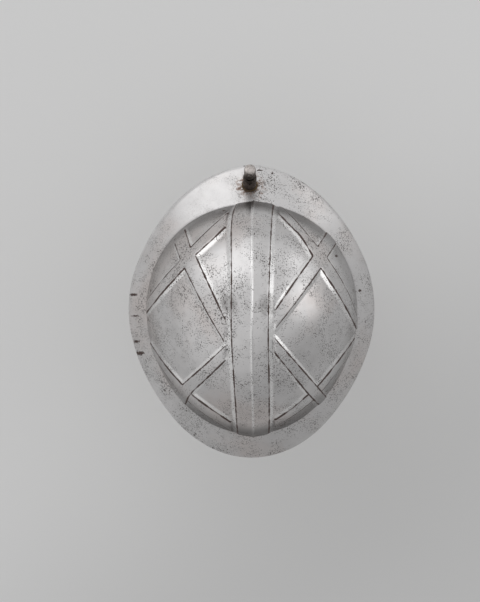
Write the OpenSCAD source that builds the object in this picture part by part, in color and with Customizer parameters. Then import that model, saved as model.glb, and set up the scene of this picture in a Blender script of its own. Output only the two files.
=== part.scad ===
// Steel brimmed helmet with a ridged crown, diagonal raised straps, a front stud,
// a riveted lining and a buckled chin strap.
// Millimetres. +Z is up, -Y is the front, +X is the wearer's left.
// The origin is the centre of the head opening, in the plane of the crease.

/* [Crown] */
// Length of the crown at the crease, front to rear
crown_len = 236; // [220:2:250]
// Width of the crown at the crease
crown_w = 216; // [204:2:228]
// Height of the crown above the crease
crown_h = 108; // [98:2:120]
// How far the top of the crown lies ahead of the middle of the opening
top_ahead = 10; // [4:1:14]
// Thickness of the steel plate
plate_t = 1.8; // [1.6:0.1:2.2]
// Radius of the turn between crown and brim
crease_r = 4; // [3:0.5:5]

/* [Brim] */
// Width of the brim in plan, at the front
brim_front = 42; // [34:1:50]
// Width of the brim in plan, at each side
brim_side = 19.5; // [16:0.5:24]
// Width of the brim in plan, at the rear
brim_rear = 26; // [20:1:34]
// Part of the front width that forms the soft point
brim_point = 3.7; // [2:0.1:6]
// Drop of the rim below the crease
brim_drop = 24; // [18:1:28]
// Width of the turned-down edge
lip_w = 3; // [2:0.5:4]
// Extra drop of the turned-down edge
lip_drop = 1; // [0.5:0.1:1.5]

/* [Relief] */
// Height of the straps and of the edges of the middle band
relief_h = 1.3; // [0.8:0.1:1.8]
// Height of the ridge along the middle band
ridge_h = 3.2; // [2:0.2:4]
// Width of the slope outside each raised edge
bevel_w = 3.5; // [2.5:0.5:5]

/* [Front stud] */
// Diameter of the stud
stud_d = 12; // [10:0.5:13]
// Length of the stud above its groove
stud_len = 12; // [9:1:16]
// Width of the groove
groove_w = 3; // [2:0.5:4]
// Diameter in the groove
groove_d = 8.5; // [7:0.5:9]
// Diameter of the collar below the groove
collar_d = 14; // [13:0.5:16]
// Height of the collar
collar_h = 15; // [14:0.5:18]
// Diameter of the shank through the brim
shank_d = 6; // [5:0.5:7]
// Diameter of the pin hole across the collar
pin_hole_d = 2.2; // [1.6:0.2:2.6]
// Height of the pin hole above the collar's foot
pin_hole_z = 11; // [7:0.5:12]
// Distance of the stud's foot from the rim
stud_inset = 22; // [18:1:24]
// Sideways place of the stud
stud_x = 2; // [-3:1:3]
// Diameter of the brass washer under the collar
washer_d = 16.5; // [16.5:0.5:19]
// Thickness of the brass washer
washer_t = 0.8; // [0.6:0.1:1.2]
// Diameter of the rove under the brim, on which the shank is hammered over
stud_rove_d = 11; // [10:0.5:12]

/* [Lining] */
// Height of the leather band inside the crown
band_h = 26; // [22:1:30]
// Thickness of the leather band
band_t = 2; // [1.5:0.1:2.4]
// Height of the band's lower edge above the crease
band_z = 3; // [2:0.5:4]
// Number of rivets that hold the band
rivets = 12; // [10:2:16]
// Diameter of the lining rivets
rivet_d = 3; // [2.5:0.1:3.5]
// Height of the lining rivets above the crease
rivet_z = 17; // [15:1:19]
// Diameter of the roves under the lining rivets
rove_d = 8; // [7:0.5:9]
// Thickness of all roves
rove_t = 0.8; // [0.6:0.1:1.2]
// Thickness of the quilted lining
quilt_t = 11; // [8:1:13]
// Number of sewn channels around the lining
channels = 16; // [12:2:20]
// Depth of the sewn channels
channel_depth = 2.5; // [1.5:0.5:3]

/* [Chin strap] */
// Width of both straps
strap_w = 18; // [16:1:20]
// Thickness of the strap leather
strap_t = 2.2; // [1.8:0.1:2.6]
// Length of the buckle strap from rivet to buckle bar
short_len = 95; // [80:5:120]
// Length of the tongue strap from rivet to tip
long_len = 245; // [220:5:280]
// Height of the strap rivets above the crease
pivot_z = 8; // [7:0.5:9]
// Diameter of the strap rivets
pivot_d = 4; // [3.5:0.1:4.5]
// Diameter of the washers and roves on the strap rivets
pivot_rove_d = 12; // [11:0.5:13]
// Number of holes in the tongue strap
strap_holes = 6; // [4:1:8]
// Distance between those holes
hole_step = 12; // [10:1:15]
// Diameter of those holes
hole_d = 3.4; // [3.2:0.1:4]
// Distance of the last hole from the tip
hole_from_tip = 32; // [28:1:40]

/* [Buckle] */
// Diameter of the buckle's iron wire
wire_d = 3.2; // [2.8:0.1:3.6]
// Length of the buckle from bar to end
buckle_len = 19; // [17:1:24]
// Room between the strap's edge and the buckle's sides
side_room = 1.2; // [0.8:0.1:2]
// Diameter of the buckle's tongue
tongue_d = 2.4; // [2:0.1:2.8]
// Height of the leather keeper
keeper_h = 8; // [6:1:10]
// Thickness of the keeper's leather
keeper_t = 1.6; // [1.2:0.1:2]
// Length of the leather folded back over the bar
fold_len = 28; // [24:1:34]
// Diameter of the two rivets through the fold
fold_rivet_d = 2.4; // [2:0.1:2.8]
// Length of the brass end on the tongue strap
chape_len = 14; // [12:1:18]
// Thickness of the brass sheet of the strap end
chape_t = 0.7; // [0.5:0.1:1]

/* [Fits] */
// Clearance of every pin in its hole, on the radius
pin_play = 0.05; // [0.02:0.01:0.08]
// Gap left between parts that lie against each other
lay_gap = 0.1; // [0.05:0.05:0.2]
// Gap left between a curved face and what lies against its inside
soft_gap = 0.4; // [0.4:0.1:0.8]

/* [Hidden] */

steel = "#a9abad";
dark_iron = "#6d665f";
brass = "#a9833f";
leather = "#6b4226";
linen = "#c9bfa4";

sectors = 72;
axis_y = -top_ahead;
// Share of the ellipsoid's radius at which the crown is cut, so that its foot is steep but not upright
cut = 0.985;
cut_h = sqrt(1 - cut * cut);

crown_front = crown_len / 2 - top_ahead;
crown_rear = crown_len / 2 + top_ahead;
rim_side = crown_w / 2 + brim_side;
rim_front = crown_front + brim_front;
rim_rear = crown_rear + brim_rear;
// Angle over which the soft point at the front dies away
point_angle = 12;
// Rings of facets up the crown
crown_rings = 12;
// Depth to which the edges of the raised strips are let into the plate
strip_seat = 0.9;

// Outline points of the raised strips, seen from above: x, y on the crown
// Each strap is a pair of edges with matching points, from its front end to its rear end
strap_a = [[[21, -109], [40, -91], [58, -73], [70, -59], [88, -40], [106, -18]],
           [[22, -95], [38, -79], [55, -63], [67, -49], [87, -28], [106, -6]]];
strap_b = [[[77, -76], [70.5, -60], [66, -51], [46, -12], [27, 21]],
           [[67, -90], [60, -70], [55, -62], [40, -30], [26, 0]]];
strap_c = [[[26, 25], [47, 45], [68, 64], [77, 74]],
           [[26, 39], [43, 56], [60, 73], [67, 86]]];
strap_d = [[[105, 26], [89, 51], [76, 68], [61, 84], [41, 99], [20, 113]],
           [[102, 24], [86, 45], [70, 63], [58, 75], [38, 90], [18, 104]]];
strap_e = [[[-27, -116], [-44, -97], [-60, -77], [-74, -60], [-94, -29], [-107, 0]],
           [[-24, -108], [-36, -94], [-48, -81], [-62, -58], [-86, -22], [-106, 11]]];
strap_f = [[[-76, -88], [-64, -71], [-59, -62], [-40, -36], [-22, -10]],
           [[-85, -77], [-74, -62], [-68, -52], [-44, -20], [-22, 8]]];
strap_g = [[[-21, 17], [-48, 48], [-68, 71], [-78, 82]],
           [[-21, 31], [-38, 52], [-55, 73], [-68, 87]]];
strap_h = [[[-107, 25], [-88, 49], [-72, 68], [-61, 80], [-42, 95], [-22, 108]],
           [[-104, 18], [-84, 43], [-66, 64], [-55, 74], [-39, 88], [-22, 100]]];
straps = [strap_a, strap_b, strap_c, strap_d, strap_e, strap_f, strap_g, strap_h];
band_edges = [[[15, -117], [20, -95], [20, -40], [20, 13], [17.5, 60], [14, 117]],
              [[-22, -117], [-19, -95], [-16, -40], [-15, 13], [-16, 60], [-17, 117]]];
band_ridge = [[-2, -118], [0, -95], [0.5, -40], [1, 13], [0, 60], [-1.5, 118]];

// Distance from the crown's axis to the crease, t degrees from the front towards +X
function crown_r(t) =
    1 / sqrt(pow(sin(t) / (crown_w / 2), 2) + pow(cos(t) / (crown_len / 2 - top_ahead * cos(t)), 2));
function lobe(c) = pow(max(0, c), 4);
// Distance from the crown's axis to the rim, for t from -180 to 180
function rim_r(t) =
    rim_side + (rim_front - brim_point - rim_side) * lobe(cos(t)) + (rim_rear - rim_side) * lobe(-cos(t))
    + brim_point * exp(-abs(t) / point_angle);
function turn(t, r, z) = [r * sin(t), axis_y - r * cos(t), z];

// Height of the crown at a share q of its radius, and the reverse
function dome(q) = crown_h * (sqrt(1 - pow(cut * q, 2)) - cut_h) / (1 - cut_h);
function share_at(z) = sqrt(1 - pow(cut_h + z * (1 - cut_h) / crown_h, 2)) / cut;
// Steepness of the crown's wall at height z, in degrees from the horizontal
function steepness(t, z) =
    let (q = share_at(z))
    atan(crown_h / (1 - cut_h) * cut * cut * q / sqrt(1 - pow(cut * q, 2)) / crown_r(t));
// Point of the wall at height z, a depth below its outer face, as radius and height
function in_wall(t, z, depth) =
    let (a = steepness(t, z))
    [share_at(z) * crown_r(t) - depth * sin(a), z - depth * cos(a)];

// Point on the crown's outer face above a place in plan, kept a little inside the crease
function share_of(p) = norm(p - [0, axis_y]) / crown_r(atan2(p.x, axis_y - p.y));
edge_share = 0.99;
function drawn_in(p, share) = [0, axis_y] + (p - [0, axis_y]) * share;
function held(p) =
    let (q = share_of(p))
    q > edge_share ? drawn_in(p, edge_share / q) : p;
function on_dome(p) =
    let (h = held(p))
    [h.x, h.y, dome(share_of(h))];
function unit(v) = v / norm(v);
normal_step = 0.2;
function dome_normal(p) =
    let (h = drawn_in(held(p), edge_share), ahead_x = [normal_step, 0], ahead_y = [0, normal_step],
         a = on_dome(h + ahead_x) - on_dome(h - ahead_x), b = on_dome(h + ahead_y) - on_dome(h - ahead_y))
    unit(cross(a, b));
// Smooth curve through a list of points
function spline(p, u) =
    let (i = min(len(p) - 2, floor(u)), f = u - i, b = p[i], c = p[i + 1],
         a = i > 0 ? p[i - 1] : 2 * b - c, d = i + 2 < len(p) ? p[i + 2] : 2 * c - b)
    0.5 * (2 * b + (c - a) * f + (2 * a - 5 * b + 4 * c - d) * f * f + (3 * b - a - 3 * c + d) * f * f * f);

// Closed skin from profiles turned round the crown's axis, with or without a pole at each end
module spun(profiles, poles = []) {
    n = len(profiles);
    m = len(profiles[0]);
    base = len(poles);
    last = base > 0 ? m - 2 : m - 1;
    function at(j, i) = base + (j % n) * m + i % m;
    points = concat(poles, [for (profile = profiles) for (p = profile) p]);
    walls = [for (j = [0 : n - 1]) for (i = [0 : last])
        for (f = [[at(j, i), at(j + 1, i), at(j + 1, i + 1)], [at(j, i), at(j + 1, i + 1), at(j, i + 1)]]) f];
    caps = base > 0 ? [for (j = [0 : n - 1])
        for (f = [[0, at(j + 1, 0), at(j, 0)], [1, at(j, m - 1), at(j + 1, m - 1)]]) f] : [];
    polyhedron(points, concat(walls, caps), convexity = 6);
}

// One stretch of a raised strip, between two sections
module stretch(a, b) {
    m = len(a);
    hull() polyhedron(concat(a, b), [[for (i = [0 : m - 1]) i], [for (i = [m - 1 : -1 : 0]) m + i]]);
}
module strip(sections) {
    for (i = [1 : len(sections) - 1]) stretch(sections[i - 1], sections[i]);
}

// Profile of the plate's outer face, from crown to rim
function bezier(a, b, c, f) = a * (1 - f) * (1 - f) + 2 * b * f * (1 - f) + c * f * f;
function plate_profile(t) =
    let (r = crown_r(t), w = rim_r(t) - r, foot = asin(cut * share_at(crease_r)),
         lip_z = -(brim_drop - lip_drop) * (w - lip_w) / w, a = atan2(-lip_z, w - lip_w),
         start = [r * share_at(crease_r), crease_r], out = [r + crease_r * cos(a), -crease_r * sin(a)],
         lip = [r + w - lip_w, lip_z])
    concat([for (i = [1 : crown_rings])
                let (q = sin(foot * i / crown_rings) / cut)
                [r * q, dome(q)]],
           [for (f = [0.25 : 0.25 : 0.75]) bezier(start, [r, 0], out, f)],
           [out, (out + lip) / 2, lip, [rim_r(t), -brim_drop]]);
function inward(p, i, depth) =
    let (d = p[min(i + 1, len(p) - 1)] - p[max(i - 1, 0)], n = unit([-d.y, d.x]))
    p[i] - n * depth;

sector_angles = [for (j = [0 : sectors - 1]) j * 360 / sectors - 180];

// The plate's outer face, closed across the rim
module plate_solid() {
    spun([for (t = sector_angles)
        let (outer = plate_profile(t), edge = inward(outer, len(outer) - 1, plate_t))
        [for (p = concat(outer, [edge])) turn(t, p.x, p.y)]],
        [[0, axis_y, crown_h], [0, axis_y, -brim_drop]]);
}

// What is hollow under the plate, carried on below the rim
below_rim = 5;
module plate_cavity() {
    spun([for (t = sector_angles)
        let (outer = plate_profile(t), inner = [for (i = [0 : len(outer) - 1]) inward(outer, i, plate_t)],
             edge = inner[len(inner) - 1])
        [for (p = concat(inner, [[edge.x, edge.y - below_rim]])) turn(t, p.x, p.y)]],
        [[0, axis_y, crown_h - plate_t], [0, axis_y, -brim_drop - below_rim]]);
}

// How far a strip stands out of the plate: full height on the crown, let in at the crease
fade_z = 6;
crease_seat = 0.4;
slope_seat = 0.1;
function lift(p, h) =
    let (f = min(1, on_dome(p).z / fade_z))
    h * f - crease_seat * (1 - f);
function raised(p, h) = on_dome(p) + dome_normal(p) * lift(p, h);
function sunk(p) = on_dome(p) - dome_normal(p) * strip_seat;
function shifted(p, d) = [p.x + d.x, p.y + d.y];

strip_steps = 3;
function stations(edge) = [for (i = [0 : (len(edge) - 1) * strip_steps]) i / strip_steps];

// One edge of a raised strip, with the slope outside it; b is a point inside the strip
function edge_points(a, b) =
    let (foot = shifted(a, unit(on_dome(a) - on_dome(b)) * bevel_w))
    [sunk(foot), raised(foot, -slope_seat), raised(a, relief_h)];
module strap_relief(strap) {
    strip([for (u = stations(strap[0]))
        let (a = spline(strap[0], u), b = spline(strap[1], u))
        concat(edge_points(a, b), edge_points(b, a))]);
}

// The band is drawn as two halves that meet along its ridge, so that it follows the crown's curve
module band_relief() {
    for (edge = band_edges) strip([for (u = stations(edge))
        let (a = spline(edge, u), ridge = spline(band_ridge, u))
        concat(edge_points(a, ridge), [raised(ridge, ridge_h), sunk(ridge)])]);
}

// Places on the plate
module on_wall(t, z) {
    p = turn(t, share_at(z) * crown_r(t), z);
    d = turn(t + 1, crown_r(t + 1), 0) - turn(t - 1, crown_r(t - 1), 0);
    translate(p) rotate([0, 0, atan2(-d.x, d.y)]) rotate([0, steepness(t, z), 0]) children();
}

lip_slope = (brim_drop - lip_drop) / brim_front;
stud_tilt = atan(lip_slope);
stud_run = brim_front - stud_inset;
module on_brim() {
    translate([stud_x, axis_y - crown_front - stud_run, -stud_run * lip_slope])
        rotate([stud_tilt, 0, 0]) children();
}

// Domed end of a hammered rivet
module peen(d, h) {
    side = [[d / 2, 0], [d / 2, h * 0.3], [d * 0.4, h * 0.75], [d * 0.22, h]];
    rotate_extrude($fn = 32) polygon(concat([[0, 0]], side, [[0, h]]));
}

// Rivets of the lining, spread evenly ahead of and behind the strap rivets
pivot_t = atan2(crown_w / 2, axis_y);
ahead = floor(rivets / 2);
behind = rivets - ahead;
rivet_angles = concat([for (i = [0 : ahead - 1]) (2 * i + 1) * pivot_t / ahead - pivot_t],
                      [for (i = [0 : behind - 1]) pivot_t + (2 * i + 1) * (180 - pivot_t) / behind]);
module at_rivets() {
    for (t = rivet_angles) on_wall(t, rivet_z) children();
}

band_depth = plate_t + soft_gap;
band_face = band_depth + band_t;
rove_depth = band_face + soft_gap;

// Strap stack, seen along the strap rivet: x of each face on the left side
function side_x(z, depth) = in_wall(pivot_t, z, depth).x * sin(pivot_t);
strap_out = side_x(pivot_z + strap_w / 2, band_face) - soft_gap - 3 * lay_gap;
strap_in = strap_out - strap_t;
pivot_rove_x = strap_in - lay_gap - rove_t;
pivot_end_x = pivot_rove_x - lay_gap;
peen_h = 1.4;

// Holes for the strap rivets through both sides of the crown
module through_side(d) {
    for (s = [-1, 1]) translate([s * pivot_end_x, 0, pivot_z]) rotate([0, s * 90, 0])
        cylinder(d = d, h = crown_w / 2 + brim_side - pivot_end_x, $fn = 32);
}

// The lining rivets end flush with the plate, or under a strap where one lies over them
flush = 0.3;
module shell() color(steel) difference() {
    union() {
        plate_solid();
        band_relief();
        for (strap = straps) strap_relief(strap);
    }
    plate_cavity();
    through_side(pivot_d + 2 * pin_play);
    at_rivets() translate([0, 0, -plate_t * 2])
        cylinder(d = rivet_d + 2 * pin_play, h = plate_t * 2 + flush, $fn = 24);
    on_brim() translate([0, 0, -plate_t * 2]) cylinder(d = shank_d + 2 * pin_play, h = plate_t * 4, $fn = 32);
}

// Front stud: plain round stud, groove and collar, on a shank that is hammered over below the brim
stud_rove_z = -plate_t - soft_gap - lay_gap - rove_t;
shank_len = lay_gap - stud_rove_z;
module front_stud() color(dark_iron) on_brim() {
    foot_z = washer_t + 2 * lay_gap;
    groove_z = foot_z + collar_h;
    difference() {
        union() {
            translate([0, 0, -shank_len]) cylinder(d = shank_d, h = shank_len + groove_z, $fn = 48);
            translate([0, 0, foot_z]) cylinder(d = collar_d, h = collar_h, $fn = 64);
            translate([0, 0, groove_z]) cylinder(d = groove_d, h = groove_w, $fn = 48);
            translate([0, 0, groove_z + groove_w]) cylinder(d = stud_d, h = stud_len, $fn = 64);
        }
        translate([0, 0, foot_z + pin_hole_z]) rotate([90, 0, 0])
            cylinder(d = pin_hole_d, h = collar_d * 2, center = true, $fn = 24);
    }
    translate([0, 0, -shank_len]) rotate([180, 0, 0]) peen(shank_d * 1.6, 2);
}

module stud_washer() color(brass) on_brim() translate([0, 0, lay_gap]) difference() {
    cylinder(d = washer_d, h = washer_t, $fn = 64);
    translate([0, 0, -1]) cylinder(d = shank_d + 2 * pin_play, h = washer_t + 2, $fn = 32);
}

module stud_rove() color(dark_iron) on_brim() translate([0, 0, stud_rove_z]) difference() {
    cylinder(d = stud_rove_d, h = rove_t, $fn = 48);
    translate([0, 0, -1]) cylinder(d = shank_d + 2 * pin_play, h = rove_t + 2, $fn = 32);
}

// Leather band riveted round the inside of the crown's foot
module lining_band() color(leather) difference() {
    steps = 6;
    spun([for (j = [0 : sectors - 1]) let (t = j * 360 / sectors)
        [for (p = concat([for (i = [steps : -1 : 0]) in_wall(t, band_z + band_h * i / steps, band_depth)],
                         [for (i = [0 : steps]) in_wall(t, band_z + band_h * i / steps, band_face)]))
            turn(t, p.x, p.y)]]);
    through_side(pivot_d + 2 * pin_play);
    at_rivets() translate([0, 0, -band_face * 2])
        cylinder(d = rivet_d + 2 * pin_play, h = band_face * 3, $fn = 24);
}

module band_rivets() color(dark_iron) at_rivets() {
    inside = rove_depth + rove_t + lay_gap;
    translate([0, 0, -inside]) cylinder(d = rivet_d, h = inside, $fn = 24);
    translate([0, 0, -inside]) rotate([180, 0, 0]) peen(rivet_d * 1.7, 1.1);
}

module band_roves() color(dark_iron) at_rivets() translate([0, 0, -rove_depth - rove_t]) difference() {
    cylinder(d = rove_d, h = rove_t, $fn = 32);
    translate([0, 0, -1]) cylinder(d = rivet_d + 2 * pin_play, h = rove_t + 2, $fn = 24);
}

// Quilted linen cap above the band, with channels sewn from its edge to its top
quilt_rings = 8;
quilt_foot = band_z + band_h + 4 * lay_gap;
quilt_foot_share = 0.8;
module quilted_lining() {
    n = channels * 4;
    foot_z = quilt_foot + quilt_t / 4;
    top_angle = asin(cut * share_at(foot_z));
    function height(i) = i == 0 ? foot_z : dome(sin(top_angle * (1 - i / quilt_rings)) / cut);
    function channel(t, i) = channel_depth * (1 - i / quilt_rings * 0.6) * pow(cos(t * channels / 2), 2);
    function quilt(t, i) = (quilt_t - channel(t, i)) * (i == 0 ? quilt_foot_share : 1);
    color(linen) spun([for (j = [0 : n - 1]) let (t = j * 360 / n)
        [for (p = concat([for (i = [quilt_rings - 1 : -1 : 0]) in_wall(t, height(i), band_depth)],
                         [for (i = [0 : quilt_rings - 1]) in_wall(t, height(i), band_depth + quilt(t, i))]))
            turn(t, p.x, p.y)]],
         [[0, axis_y, crown_h - band_depth], [0, axis_y, crown_h - band_depth - quilt_t * quilt_foot_share]]);
}

// Strap rivets and what lies on them, drawn for the left side and mirrored for the right
module both(side) {
    if (side == "left") children();
    else mirror([1, 0, 0]) children();
}
module along_x(x) {
    translate([x, 0, pivot_z]) rotate([0, 90, 0]) children();
}

module strap_rivet(side) color(dark_iron) both(side) {
    along_x(pivot_end_x) cylinder(d = pivot_d, h = side_x(pivot_z, 0) - pivot_end_x, $fn = 32);
    along_x(pivot_end_x) rotate([180, 0, 0]) peen(pivot_d * 1.7, peen_h);
}

// Leather washer that fills the wedge between the strap and the sloping band
module strap_washer(side) color(leather) both(side) difference() {
    along_x(strap_out + lay_gap) cylinder(d = pivot_rove_d, h = band_t * 4, $fn = 48);
    along_x(strap_out) cylinder(d = pivot_d + 2 * pin_play, h = band_t * 5, $fn = 32);
    on_wall(pivot_t, pivot_z) translate([-pivot_rove_d, -pivot_rove_d, -rove_depth])
        cube([2 * pivot_rove_d, 2 * pivot_rove_d, 2 * pivot_rove_d]);
}

module strap_rove(side) color(dark_iron) both(side) along_x(pivot_rove_x) difference() {
    cylinder(d = pivot_rove_d, h = rove_t, $fn = 48);
    translate([0, 0, -1]) cylinder(d = pivot_d + 2 * pin_play, h = rove_t + 2, $fn = 32);
}

// Straps lie in a plane across X; their outlines are drawn as y, z
module leaf(thick = strap_t, x = strap_in) {
    translate([x, 0, 0]) rotate([90, 0, 90]) linear_extrude(thick) children();
}
module strap_head(length) {
    translate([0, pivot_z]) circle(d = strap_w, $fn = 64);
    translate([-strap_w / 2, pivot_z - length]) square([strap_w, length]);
}
// Pointed end, its tip at the origin
point_h = strap_w * sqrt(3) / 2;
module pointed_end(w) {
    h = w * sqrt(3) / 2;
    intersection() {
        translate([-w / 2, 0]) square([w, h]);
        translate([-w / 2, h]) circle(r = w, $fn = 96);
        translate([w / 2, h]) circle(r = w, $fn = 96);
    }
}

tip_z = pivot_z - long_len;
module tongue_strap() color(leather) both("right") difference() {
    leaf() difference() {
        union() {
            strap_head(long_len - point_h);
            translate([0, tip_z]) pointed_end(strap_w);
        }
        for (i = [0 : strap_holes - 1]) translate([0, tip_z + hole_from_tip + i * hole_step])
            circle(d = hole_d, $fn = 24);
    }
    along_x(strap_in - 1) cylinder(d = pivot_d + 2 * pin_play, h = strap_t + 2, $fn = 32);
    translate([strap_in - 1, 0, tip_z + chape_pin_z]) rotate([0, 90, 0])
        cylinder(d = chape_pin_d + 2 * pin_play, h = strap_t + 2, $fn = 24);
}

// Brass end folded round the tip and pinned through it
chape_pin_d = 1.8;
chape_pin_z = chape_len * 0.7;
module strap_chape() color(brass) both("right") {
    hold = chape_t + lay_gap;
    difference() {
        leaf(strap_t + 2 * hold, strap_in - hold) intersection() {
            translate([0, tip_z - 2 * hold]) pointed_end(strap_w + 2 * hold);
            translate([-strap_w, tip_z - 2 * hold]) square([strap_w * 2, chape_len + 2 * hold]);
        }
        leaf(strap_t + 2 * lay_gap, strap_in - lay_gap) translate([0, tip_z - 2 * lay_gap])
            pointed_end(strap_w + 2 * lay_gap);
    }
    translate([strap_in - hold, 0, tip_z + chape_pin_z]) rotate([0, 90, 0])
        cylinder(d = chape_pin_d, h = strap_t + 2 * hold, $fn = 24);
}

// Buckle strap: folded round the buckle's bar, slotted for the tongue, riveted to itself
bar_z = pivot_z - short_len;
bar_bore = wire_d / 2 + pin_play;
bar_x = strap_in - bar_bore;
fold_rise = 12;
fold_slit = 0.15;
slot_top = 10;
tongue_w = 3;
slot_w = tongue_w + 1.4;
fold_rivet_z = bar_z + fold_len * 0.75;
fold_rivet_y = strap_w / 4;
module at_bar() {
    translate([bar_x, 0, bar_z]) children();
}
module across(w) {
    rotate([90, 0, 0]) linear_extrude(w, center = true) children();
}
module fold_rivet_places() {
    for (s = [-1, 1]) translate([0, s * fold_rivet_y, fold_rivet_z]) children();
}

module buckle_strap() color(leather) difference() {
    union() {
        leaf() strap_head(short_len);
        at_bar() across(strap_w) difference() {
            circle(r = bar_bore + strap_t, $fn = 64);
            circle(r = bar_bore, $fn = 48);
            translate([-wire_d * 3, 0]) square(wire_d * 6);
        }
        at_bar() across(strap_w) polygon([
            [-bar_bore - strap_t, 0], [-bar_bore, 0], [-bar_bore, bar_bore],
            [bar_bore - fold_slit, fold_rise], [bar_bore - fold_slit, fold_len],
            [bar_bore - fold_slit - strap_t, fold_len], [bar_bore - fold_slit - strap_t, fold_rise]]);
    }
    along_x(strap_in - 1) cylinder(d = pivot_d + 2 * pin_play, h = strap_t + 2, $fn = 32);
    at_bar() translate([-wire_d * 3, -slot_w / 2, -wire_d * 3])
        cube([wire_d * 6, slot_w, wire_d * 3 + slot_top]);
    fold_rivet_places() translate([strap_in - 2 * strap_t, 0, 0]) rotate([0, 90, 0])
        cylinder(d = fold_rivet_d + 2 * pin_play, h = strap_t * 4, $fn = 24);
}

module fold_rivets() color(brass) fold_rivet_places() {
    low = strap_in - strap_t - fold_slit - lay_gap;
    high = strap_out + lay_gap;
    translate([low, 0, 0]) rotate([0, 90, 0]) cylinder(d = fold_rivet_d, h = high - low, $fn = 24);
    translate([low, 0, 0]) rotate([0, -90, 0]) peen(fold_rivet_d * 2, 0.9);
    translate([high, 0, 0]) rotate([0, 90, 0]) peen(fold_rivet_d * 2, 0.9);
}

// Leather loop that holds the end of the other strap
keeper_room = 0.6;
keeper_above_fold = 4;
keeper_z = bar_z + fold_len + keeper_above_fold;
module strap_keeper() {
    depth = 2 * strap_t + keeper_room + 2 * lay_gap;
    width = strap_w + 2 * lay_gap;
    color(leather) translate([strap_in - lay_gap, 0, keeper_z]) linear_extrude(keeper_h) difference() {
        translate([-keeper_t, -width / 2 - keeper_t]) square([depth + 2 * keeper_t, width + 2 * keeper_t]);
        translate([0, -width / 2]) square([depth, width]);
    }
}

// Buckle: bent iron wire with rounded lower corners
arm_y = strap_w / 2 + side_room + wire_d / 2;
corner_r = 4;
module buckle_frame() color(dark_iron) at_bar() {
    wire = wire_d / 2;
    rotate([90, 0, 0]) cylinder(r = wire, h = 2 * arm_y, center = true, $fn = 32);
    translate([0, 0, -buckle_len]) rotate([90, 0, 0])
        cylinder(r = wire, h = 2 * (arm_y - corner_r), center = true, $fn = 32);
    for (s = [-1, 1]) {
        translate([0, s * arm_y, 0]) sphere(r = wire, $fn = 32);
        translate([0, s * arm_y, corner_r - buckle_len])
            cylinder(r = wire, h = buckle_len - corner_r, $fn = 32);
        translate([0, s * (arm_y - corner_r), corner_r - buckle_len]) rotate([s > 0 ? 0 : 180, 90, 0])
            rotate_extrude(angle = 90, $fn = 64) translate([corner_r, 0]) circle(r = wire, $fn = 32);
    }
}

// Tongue: a pin with an eye that turns on the buckle's bar and rests on its far end
tongue_rest = 0.15;
tongue_over = 1;
eye_wall = 1.3;
module buckle_tongue() color(dark_iron) at_bar() {
    u = wire_d / 2 + tongue_d / 2 + tongue_rest;
    reach = buckle_len + wire_d / 2 + tongue_over;
    rotate([90, 0, 0]) difference() {
        cylinder(r = bar_bore + eye_wall, h = tongue_w, center = true, $fn = 48);
        cylinder(r = bar_bore, h = tongue_w + 2, center = true, $fn = 48);
    }
    translate([u, 0, -reach]) cylinder(d = tongue_d, h = reach, $fn = 32);
    translate([u, 0, 0]) sphere(d = tongue_d, $fn = 32);
    translate([u, 0, -reach]) sphere(d = tongue_d, $fn = 32);
}

shell();
front_stud();
stud_washer();
stud_rove();
lining_band();
band_rivets();
band_roves();
quilted_lining();
strap_rivet("left");  // strap_rivet_left
strap_rivet("right");  // strap_rivet_right
strap_washer("left");  // strap_washer_left
strap_washer("right");  // strap_washer_right
strap_rove("left");  // strap_rove_left
strap_rove("right");  // strap_rove_right
buckle_strap();
strap_keeper();
fold_rivets();
buckle_frame();
buckle_tongue();
tongue_strap();
strap_chape();
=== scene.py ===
# %% [markdown]
# # A brimmed steel helmet, dressed for a studio picture
#
# The helmet is a single plate of forged steel: a high crown, a brim that slopes down all round, a wide
# band with a low ridge from front to rear, and eight raised straps that cross in pairs. Inside it hang a
# leather band, a quilted linen cap and a chin strap with a buckle.
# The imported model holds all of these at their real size. This script loads it as a fixed frame and gives
# each piece its finished surface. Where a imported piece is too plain, a finer mesh stands for it.

# %% Load the frame
import functools
import math

import bmesh
import bpy
import numpy as np
from mathutils import Matrix, Vector, noise


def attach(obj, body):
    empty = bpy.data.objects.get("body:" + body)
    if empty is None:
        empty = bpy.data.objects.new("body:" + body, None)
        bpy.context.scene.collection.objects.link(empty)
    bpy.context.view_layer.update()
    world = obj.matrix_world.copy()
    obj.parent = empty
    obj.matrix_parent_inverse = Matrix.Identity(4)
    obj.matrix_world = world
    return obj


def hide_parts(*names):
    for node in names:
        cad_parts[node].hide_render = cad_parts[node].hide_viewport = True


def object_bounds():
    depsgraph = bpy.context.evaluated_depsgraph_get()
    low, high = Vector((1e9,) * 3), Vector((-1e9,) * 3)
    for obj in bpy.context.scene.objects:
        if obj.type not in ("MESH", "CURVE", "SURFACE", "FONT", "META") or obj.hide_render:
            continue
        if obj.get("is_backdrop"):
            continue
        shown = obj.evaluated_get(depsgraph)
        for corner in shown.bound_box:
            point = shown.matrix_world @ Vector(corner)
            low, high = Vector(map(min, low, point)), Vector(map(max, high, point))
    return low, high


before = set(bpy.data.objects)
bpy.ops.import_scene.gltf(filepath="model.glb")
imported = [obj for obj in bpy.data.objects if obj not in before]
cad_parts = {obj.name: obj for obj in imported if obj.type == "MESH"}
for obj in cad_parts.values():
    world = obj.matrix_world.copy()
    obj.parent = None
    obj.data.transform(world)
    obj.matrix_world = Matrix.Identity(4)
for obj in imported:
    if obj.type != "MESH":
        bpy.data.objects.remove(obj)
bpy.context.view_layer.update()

# %% [markdown]
# ## Sizes
#
# Blender works in metres and the maker thinks in millimetres, so every size below is a named value in
# millimetres, and MM turns it into metres at the last moment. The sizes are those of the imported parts:
# the finer meshes have to sit where the plain ones do. Only the crease between crown and brim is sharper
# here, and the relief a little higher, because the light of the photograph shows them so.

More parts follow.
